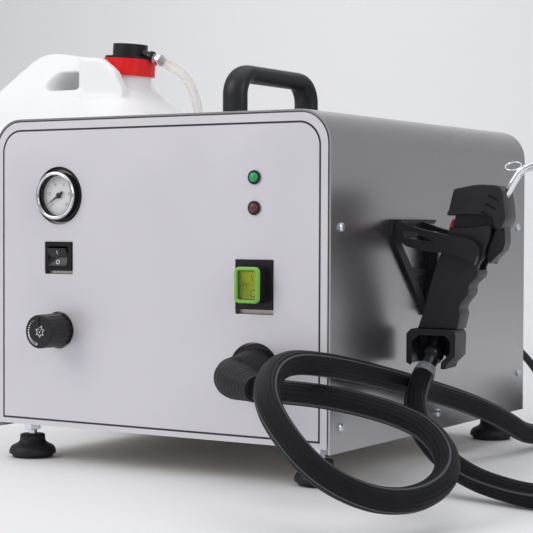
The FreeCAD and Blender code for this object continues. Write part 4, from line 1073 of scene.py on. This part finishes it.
left = [(-22.2, 120.6), (-19.6, 128), (-17.4, 134.5), (-12.9, 151), (-7.5, 169.6), (-1.6, 184.5), (3.4, 197), (6.2, 205), (8.0, 213.0)]
right = [(39.0, 213.0), (38.7, 204), (37.4, 194), (35.0, 187.8), (33.6, 183.6), (33.5, 179.6), (31.2, 176.0), (29.0, 172.6), (28.0, 169.4), (28.4, 165.2), (27.0, 162.0), (23.8, 159.4), (20.8, 155.8), (20.3, 149.6), (17.6, 145.6), (14.6, 141.8), (12.9, 137.6), (13.5, 132.0), (12.4, 126.6), (11.1, 120.6)]
outline = smooth_loop(left, 5, False)[:-1] + [left[-1]] + smooth_loop(right, 5, False)
gun_pieces = []
for name, sign, nodes in (("gun_handle_front", -1, ("gun_shell_front",)), ("gun_handle_back", 1, ("gun_shell_back",))):
    n = len(outline)
    verts = [tuple(G(a, 0.03 * sign, z)) for a, z in outline] + [tuple(G(a, half_thick(z) * sign, z)) for a, z in outline]
    faces = [tuple(range(n)), tuple(range(2 * n - 1, n - 1, -1))] + [(i, i + n, (i + 1) % n + n, (i + 1) % n) for i in range(n)]
    me = bpy.data.meshes.new(name)
    me.from_pydata(verts, [], faces)
    bm = bmesh.new()
    bm.from_mesh(me)
    bmesh.ops.recalc_face_normals(bm, faces=bm.faces)
    # rounded outer rim, fine parting line at the middle
    rim = [e for e in bm.edges if all(v2.index >= n for v2 in e.verts)]
    bm.verts.ensure_lookup_table()
    rim = [e for e in bm.edges if e.verts[0].index >= n and e.verts[1].index >= n]
    bmesh.ops.bevel(bm, geom=rim, offset=0.0038, segments=5, profile=0.5, affect="EDGES", clamp_overlap=True)
    bm.to_mesh(me)
    bm.free()
    ob = link(name, me, gunp)
    if sign < 0:
        tool = prism_mesh("tool_a", [(3.0, 214), (3.5, 203.5), (14, 201.8), (30, 203.2), (44.5, 205.8), (44.5, 214)], -8.2, -20.0, gunp, place_gun)
        cut(ob, tool)
    cut(ob, prism_mesh("tool_pocket", [(28.5, 202), (60, 202), (60, 163.5), (24.5, 169), (26, 183)], -9.7, 9.7, gunp, place_gun))
    sharp_smooth(ob, 38)
    give(ob, "gun", nodes, "gun_plastic")
    gun_pieces.append(ob)

# head: moulded box with three slots and a hollow under it
hp = [(3.6, 212.4), (4.8, 217.4), (7.4, 228.4), (9.2, 233.2), (15.8, 234.8), (27.0, 236.8), (38.0, 236.7), (45.2, 235.6), (48.0, 231.8), (49.7, 223.0), (51.0, 212.0), (50.5, 207.8), (48.8, 204.2), (46.8, 201.4), (44.4, 201.4), (41.6, 204.4), (40.7, 209.2), (38.6, 211.8), (30.0, 212.6), (17.0, 212.8)]
head = prism_mesh("gun_head_look", smooth_loop(hp, 4), -17.0, 17.0, gunp, place_gun, 0.0)
mod = head.modifiers.new("edges", "BEVEL")
mod.width = 0.0016
mod.segments = 4
mod.limit_method = "ANGLE"
mod.angle_limit = math.radians(50)
mod.use_clamp_overlap = True
apply_mods(head)
tools = [prism_mesh("tool_b", [(6.8, 209.0), (9.6, 227.0), (13.4, 230.6), (42.0, 230.6), (46.0, 225.0), (47.8, 214.6), (44.0, 206.4), (42.0, 209.0)], -14.2, 14.2, gunp, place_gun)]
for i, (a, z) in enumerate(((38.2, 227.6), (35.6, 221.2), (32.4, 214.9))):
    for side in (-18.5, 15.2):
        ca, sa = math.cos(math.radians(-27)), math.sin(math.radians(-27))
        rect = [(-0.2, 0.9), (0.9, 1.5), (7.9, 1.1), (9.2, 0.2), (8.8, -0.7), (1.0, -0.5), (-0.4, -1.2), (-1.0, -0.4)]
        tools.append(prism_mesh("tool_s%d" % i, [(a + x * ca - y2 * sa, z + x * sa + y2 * ca) for x, y2 in rect], side, side + 3.3, gunp, place_gun))
cut(head, *tools)
sharp_smooth(head, 36)
give(head, "gun", ("gun_head",), "gun_plastic")
refine("gun_guard", gunp, 1.6, 4, slot="gun_plastic", body="gun", angle=40)
refine("gun_trigger", plastic, 1.2, 4, slot="trigger_black", body="gun_trigger", angle=44)
refine("gun_button", red, 0.5, 3, slot="button_red", body="gun_button", angle=50)
refine("nozzle_ring", chrome, 0.0, slot="nozzle_chrome", body="gun", angle=80)

PIPE = [(-10.5, 0, 112.0), (-4.5, 0, 134), (4.0, 0, 160), (14.0, 0, 190), (28.0, 0, 214), (46.0, 0, 226.0), (53.5, 0, 240), (60.0, 0, 249.5), (74, 0, 253.0), (90, 0, 251.5), (106, 0, 248.0)]
line = nurbs_points([G(*q) for q in PIPE], 3, 24)
noz = tube_mesh("gun_nozzle_look", line, 0.0032, 40, chrome)
give(noz, "gun", ("gun_nozzle",), "nozzle_chrome")
bore_at = Vector(line[-1])
bdir = (Vector(line[-1]) - Vector(line[-3])).normalized()
tip = ring_lathe("gun_nozzle_tip", [(3.2, -0.5), (3.3, 0.0), (3.1, 0.5), (2.2, 0.6), (2.0, 0.0), (2.1, -0.4)], bore_at, bdir, chrome, 40)
give(tip, "gun", (), "nozzle_chrome")
# painted shade: a thin black disc on the closed nozzle tip stands in for the dark inside of the bore
bore_shade_disc = lathe("gun_nozzle_bore_shade", [(0.0, 0.1), (2.05, 0.1), (2.05, 0.0), (0.0, 0.0)], bore_at, bdir, ink, 32)
give(bore_shade_disc, "gun", (), "gun_plastic")

ball = G(-12.5, -3.0, 99.5)
QE = M(364.2, 101.0, 82.0)
dn = QE - ball
L = dn.length * 1000
dnu = dn.normalized()
up = (G(-9.9, 0, 118.5) - ball)
ul = up.length * 1000
bt = lathe("gun_boot_ball", [(9.3 * math.sin(math.radians(q)), -9.3 * math.cos(math.radians(q))) for q in range(0, 139, 6)] + [(5.8, 7.7), (5.7, ul - 0.5), (0.0, ul - 0.5)], ball, up, gloss_black, 64, 60)
bt2 = lathe("gun_boot_neck", [(0.0, 0.0), (7.4, 0.0), (7.5, 3.0), (7.1, 6.0), (6.5, L * 0.55), (0.0, L * 0.55)], ball, dn, gloss_black, 64, 60)
boot_ob = joined("gun_boot_look", [bt, bt2], gloss_black)
sharp_smooth(boot_ob, 60)
give(boot_ob, "gun", ("gun_boot",), "gun_plastic")
cl = []
for i in range(15):
    q = i / 14
    cl.append((7.5 + 1.55 * q + 0.22 * math.sin(q * 19), L * 0.55 + (L * 0.45 - 2.9) * q))
col = ring_lathe("hose_collar_look", cl + [(5.0, L - 2.9), (5.0, L * 0.55)], ball, dn, sleeve_m, 64, 70)
give(col, "gun", ("hose_collar",), "hose_black")
gun_pieces += [boot_ob, col]

# ------------------------------------------------------------------ water can
CX0, CX1, CY0, CY1 = -298.0, -24.0, 212.0, 448.0


def can_ring(dx0, dx1, dy, rad, z, n=14):
    x0, x1, y0, y1 = CX0 + dx0, CX1 - dx1, CY0 + dy, CY1 - dy
    pts = []
    for cx, cy, a0 in ((x1 - rad, y1 - rad, 0), (x0 + rad, y1 - rad, 90), (x0 + rad, y0 + rad, 180), (x1 - rad, y0 + rad, 270)):
        for i in range(n + 1):
            a = math.radians(a0 + 90 * i / n)
            pts.append(tuple(M(cx + rad * math.cos(a), cy + rad * math.sin(a), z)))
    return pts


layers = [(9, 9, 9, 30, 0.3), (4, 4, 4, 34, 1.8), (1, 1, 1, 36, 5.5), (0, 0, 0, 36, 11), (0, 0, 0, 36, 80), (0, 0, 0, 36, 160), (0, 0, 0, 36, 240), (0, 0, 0, 36, 284), (2.5, 2.5, 4, 36, 296), (7, 10, 20, 36, 308), (13, 20, 40, 36, 318), (24, 44, 72, 30, 336), (46, 52, 82, 24, 346)]
verts, faces = [], []
for la in layers:
    verts += can_ring(*la)
n = len(can_ring(*layers[0]))
for i in range(len(layers) - 1):
    for j in range(n):
        k = (j + 1) % n
        faces.append((i * n + j, i * n + k, (i + 1) * n + k, (i + 1) * n + j))
faces.append(tuple(range(n))[::-1])
faces.append(tuple(range((len(layers) - 1) * n, len(layers) * n)))
me = bpy.data.meshes.new("can_body")
me.from_pydata(verts, [], faces)
can = link("can_body", me, can_m)
def can_place(a, c0, z):
    return M(a, 330.0 + c0, z)


# ridge with a finger hole through it, and two cheeks beside the neck
RIDGE = [(-256, 335), (-250, 342), (-243, 351.5), (-236, 358.5), (-228, 368), (-222, 373.6), (-215.5, 380.8), (-207, 386.5), (-199, 389), (-190, 389.6), (-175, 388.3), (-152, 384), (-134, 380.7), (-131, 379), (-131, 335)]
HOLE = [(-182, 346.6), (-180, 357), (-170, 367), (-146, 367), (-136, 358), (-134, 346.6)]
ridge = prism_mesh("can_ridge", RIDGE, -1.0, 1.0, can_m, can_place, taper=lambda z: 15.0 + (393.0 - z) / 63.0 * 39.0)
cut(ridge, prism_mesh("tool_hole", HOLE, -75.0, 75.0, can_m, can_place))
CHEEK = [(-134, 381.2), (-128, 380.8), (-106, 378.5), (-96, 371.5), (-87, 364.5), (-82, 354), (-76, 343), (-76, 335), (-134, 335)]
cheek_a = prism_mesh("can_cheek_a", CHEEK, -44.0, -32.0, can_m, can_place)
cheek_b = prism_mesh("can_cheek_b", [(x - (14 if x > -120 else 0), z) for x, z in CHEEK], 32.0, 44.0, can_m, can_place)
tl = math.radians(4.0)
nax = Vector((math.sin(tl), 0, math.cos(tl)))
ncap = M(-100, 330, 362)
neck = lathe("can_neck", [(0.0, -40), (24.0, -40), (24.0, -1.0), (24.0, 13.0), (0.0, 13.0)], ncap, nax, can_m, 64)
can = joined("water_can_look", [can, ridge, cheek_a, cheek_b, neck], can_m)
bm = bmesh.new()
bm.from_mesh(can.data)
bmesh.ops.recalc_face_normals(bm, faces=bm.faces)
bm.to_mesh(can.data)
bm.free()
soften(can, 2.2, 8, 0.5)
give(can, "cabinet", ("tank_body", "tank_shoulder"), "can_white")
refine("tank_cap_ring", cap_m, 0.5, 3, slot="cap_red", body="cap_ring", angle=36)
refine("tank_plug", plastic, 0.6, 3, slot="black_plastic", angle=36)
st = refine("suction_tube", can_m, 0.0, slot="can_white")
BD = Vector((0.922, 0, -0.387)).normalized()
nut = lathe("water_hose_clamp", [(5.3, 0.0), (6.3, 0.4), (6.4, 4.6), (5.4, 5.0)], M(-62.5, 330, 378.4), BD, chrome, 48)
give(nut, "cabinet", (), "zinc")
nut2 = lathe("plug_barb_nut", [(3.0, -7.0), (5.9, -6.6), (6.1, -3.2), (4.9, -2.4), (4.6, -0.4), (3.0, -0.2)], M(-66.0, 330, 379.8), BD, gloss_black, 48)
give(nut2, "cabinet", (), "black_plastic")

# ------------------------------------------------------------------ cords
HOSE = [(305.9, -60.1, 82.1), (323.1, -57.4, 80.9), (351.4, -47.0, 78.8), (378.9, -35.5, 73.6), (406.9, -28.2, 66.5),
        (434.3, -29.9, 57.1), (458.5, -48.0, 41.5), (470.0, -80.0, 29.0), (467.5, -116.0, 22.0), (455.5, -145.5, 24.0),
        (439.5, -165.5, 33.4), (421.8, -175.0, 46.2), (401.1, -175.1, 64.6), (376.3, -160.9, 85.0), (356.0, -123.7, 100.3),
        (349.9, -87.6, 106.6), (351.3, -43.6, 101.9), (351.5, 11.7, 92.6), (346.0, 95.0, 77.2), (349.5, 150.0, 64.8),
        (360.1, 197.5, 51.6), (371.7, 246.6, 33.6), (374.5, 298.0, 12.0), (392.3, 377.0, 9.4), (449.2, 444.0, 9.4),
        (528.0, 458.0, 9.4), (599.0, 405.4, 9.4), (638.0, 309.9, 9.4), (640.0, 200.0, 9.4), (625.0, 115.0, 9.4),
        (590.0, 50.0, 9.4), (545.0, 17.0, 9.4), (512.0, 10.0, 9.4), (491.7, 12.5, 9.4), (471.5, 20.0, 10.6),
        (447.5, 25.5, 14.4), (426.5, 30.5, 21.8), (407.5, 35.5, 33.2), (390.0, 46.5, 46.0), (376.0, 63.0, 58.0),
        (365.5, 86.5, 70.0), (364.2, 101.0, 82.0)]
line = nurbs_points([M(*q) for q in HOSE], 3, 14)
seg_len = np.linalg.norm(np.diff(line, axis=0), axis=1)
s = np.concatenate([[0], np.cumsum(seg_len)])
TAIL = 0.150
k = int(np.argmin(np.abs(s - (s[-1] - TAIL))))
frames_all = frames_along(line)


def part_frames(a, b2):
    return tuple(q[a:b2] for q in frames_all)


hose_main = tube_mesh("hose_main", line[:k + 1], 0.009, 72, hose_m, ribs=18, rib=0.03, frames=part_frames(0, k + 1))
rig.ride(hose_main, "cabinet")
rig.replaces(hose_main, "steam_hose")
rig.slot(hose_main, "hose_black")
hose_tail = tube_mesh("hose_tail", line[k:], 0.009, 72, hose_m, ribs=18, rib=0.03, frames=part_frames(k, len(line)), start_len=float(s[k]))
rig.blend(hose_tail, "cabinet", "gun", M(447.5, 25.5, 14.4), M(364.2, 101.0, 82.0))
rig.slot(hose_tail, "hose_black")
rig.cord(hose_main, line[0], float(s[k]), 0.018, "object", "medium", "loose", path=line[:k + 1])
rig.cord(hose_tail, line[k], float(s[-1] - s[k]), 0.018, "tool", "limp", "loose", with_pieces=tuple(gun_pieces), path=line[k:])

LEAD = [(300.0, 380.0, 87.8), (300.2, 428.0, 87.0), (306.5, 455.0, 71.0), (316.5, 470.0, 49.0),
        (325.5, 480.0, 31.0), (331.4, 494.0, 21.0)]
RO, RI, Z0, Z1, Z2 = 44.75, 37.25, 3.95, 11.45, 18.95
coil_pts = []
a = 180.0
while a > -1350.1:
    t = 180.0 - a

    def ease(start, end, v0, v1):
        q = min(1.0, max(0.0, (start - a) / (start - end)))
        return v0 + (v1 - v0) * q * q * (3 - 2 * q)

    rad = RO
    z = Z2
    z = ease(180, 120, Z2, Z1)
    if a < -180:
        z = ease(-180, -240, Z1, Z0)
    if a < -480:
        z = Z0
        rad = ease(-480, -540, RO, RI)
    if a < -780:
        z = ease(-795, -860, Z0, Z1)
        rad = RI
    if a < -1140:
        z = ease(-1155, -1220, Z1, Z2)
    if a < -1290:
        rad = ease(-1290, -1350, RI, 41.0)
    coil_pts.append((378.0 + rad * math.cos(math.radians(a)), 514.0 + rad * math.sin(math.radians(a)), z))
    a -= 15.0
LEAD += coil_pts + [(388.0, 555.0, 18.95), (401.0, 555.0, 18.95)]
lead_exit = M(300.1, 412.5, 87.35)
lead_pts = [lead_exit] + [M(*q) for q in LEAD[1:]]
lead = nurbs_curve("mains_lead_look", lead_pts, 3, 8)
lead.data.bevel_depth = 0.00375
lead.data.bevel_resolution = 5
lead.data.use_fill_caps = True
lead.data.materials.append(lead_m)
give(lead, "cabinet", ("mains_lead", "mains_coil"), "lead_black")
ll = nurbs_points(lead_pts, 3, 8)
lead_len = float(np.linalg.norm(np.diff(ll, axis=0), axis=1).sum())
plug = refine("mains_plug", lead_m, 1.4, 4, slot="lead_black", angle=40)
pins = joined("mains_plug_pins", [lathe("pin_%d" % i, [(0.0, 0.0), (2.45, 0.0), (2.45, 17.4), (2.0, 18.9), (0.8, 19.4), (0.0, 19.4)], M(442.2, 555.0 + q, 18.95), (1, 0, 0), chrome, 32) for i, q in enumerate((-9.5, 9.5))], chrome)
sharp_smooth(pins, 40)
give(pins, "cabinet", (), "zinc")
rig.cord(lead, lead_exit, lead_len, 0.0075, "plug", "medium", "coiled", with_pieces=(plug, pins))

WATER = [(-66.0, 330.0, 379.8), (-42.5, 330.0, 370.0), (-26.0, 330.0, 358.5), (-15.5, 330.2, 342.0), (-10.0, 331.0, 320.0),
         (-9.5, 336.0, 290.0), (-10.5, 350.0, 255.0), (-10.5, 376.0, 222.0), (-6.0, 407.0, 192.0), (8.0, 436.0, 164.0),
         (32.0, 451.0, 139.0), (53.0, 442.0, 123.5), (60.0, 417.0, 119.5), (60.0, 384.0, 120.0)]
water_pts = [M(*q) for q in WATER]
water = nurbs_curve("water_hose_look", water_pts, 3, 14)
water.data.bevel_depth = 0.005
water.data.bevel_resolution = 8
water.data.use_fill_caps = True
water.data.materials.append(tube_m)
give(water, "cabinet", ("water_hose",), "clear_hose")
wl = nurbs_points(water_pts, 3, 14)
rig.cord(water, water_pts[0], float(np.linalg.norm(np.diff(wl, axis=0), axis=1).sum()), 0.010, "object", "limp", "hanging")
print("LENGTHS", round(float(s[-1]), 4), round(lead_len, 4), round(float(np.linalg.norm(np.diff(wl, axis=0), axis=1).sum()), 4))

# ------------------------------------------------------------------ floor, backdrop, light
me = bpy.data.meshes.new("floor")
pts = []
for i in range(33):
    t = i / 32
    pts.append(t)
prof = [(-4.0, 0.0), (2.2, 0.0)] + [(2.2 + 1.2 * math.sin(math.radians(q)), 1.2 - 1.2 * math.cos(math.radians(q))) for q in range(6, 91, 6)] + [(3.4, 5.0)]
verts, faces = [], []
bx = Vector((r.x, r.y, 0)).normalized()
by = Vector((d.x, d.y, 0)).normalized()
for (dd, z) in prof:
    for w in (-6.0, 6.0):
        q = bx * w + by * dd
        verts.append((q.x, q.y, z - 0.0003))
for i in range(len(prof) - 1):
    faces.append((2 * i, 2 * i + 1, 2 * i + 3, 2 * i + 2))
me.from_pydata(verts, [], faces)
floor_m, nt, b = basic("floor_paper", (0.86, 0.86, 0.87), 0.6)
v = coords(nt)
c = noise(nt, v, 1.3, 3.0)
nt.links.new(mixed(nt, c, (0.89, 0.89, 0.90), (0.93, 0.93, 0.94)), b.inputs["Base Color"])
bump(nt, b, noise(nt, v, 500.0, 3.0), 0.08, 0.0002)
floor = link("floor", me, floor_m)
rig.stage(floor)

bpy.context.scene.view_settings.view_transform = "Standard"
bpy.context.scene.view_settings.look = "None"
bpy.context.scene.view_settings.exposure = -0.55

world = bpy.data.worlds.new("studio")
bpy.context.scene.world = world
world.use_nodes = True
world.node_tree.nodes["Background"].inputs["Color"].default_value = (0.90, 0.91, 0.95, 1)
world.node_tree.nodes["Background"].inputs["Strength"].default_value = 0.62


def area(name, where, at, size, power, color=(1, 1, 1), size_y=None):
    li = bpy.data.lights.new(name, "AREA")
    li.shape = "RECTANGLE"
    li.size = size
    li.size_y = size_y or size
    li.energy = power
    li.color = color
    ob = bpy.data.objects.new(name, li)
    bpy.context.scene.collection.objects.link(ob)
    ob.location = where
    ob.rotation_mode = "QUATERNION"
    ob.rotation_quaternion = (Vector(at) - Vector(where)).to_track_quat("-Z", "Y")
    return ob


area("key_left", (-1.3, -1.7, 1.6), (0.0, 0.0, 0.15), 1.4, 34, (1.0, 0.98, 0.96))
area("fill_right", (1.9, -0.9, 1.2), (0.1, 0.0, 0.15), 1.2, 16, (0.96, 0.98, 1.0))
area("top_soft", (0.1, 0.1, 2.2), (0.05, 0.0, 0.0), 2.4, 26, (1, 1, 1))
area("back_wash", (-0.6, 2.0, 1.6), (-0.4, 3.2, 0.9), 2.2, 14, (1, 1, 1))

vis_lo, vis_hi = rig.bounds()
with open("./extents.json", "w") as fh:
    json.dump({"cad": [[float(q) for q in cad_lo], [float(q) for q in cad_hi]], "visual": [[float(q) for q in vis_lo], [float(q) for q in vis_hi]]}, fh)
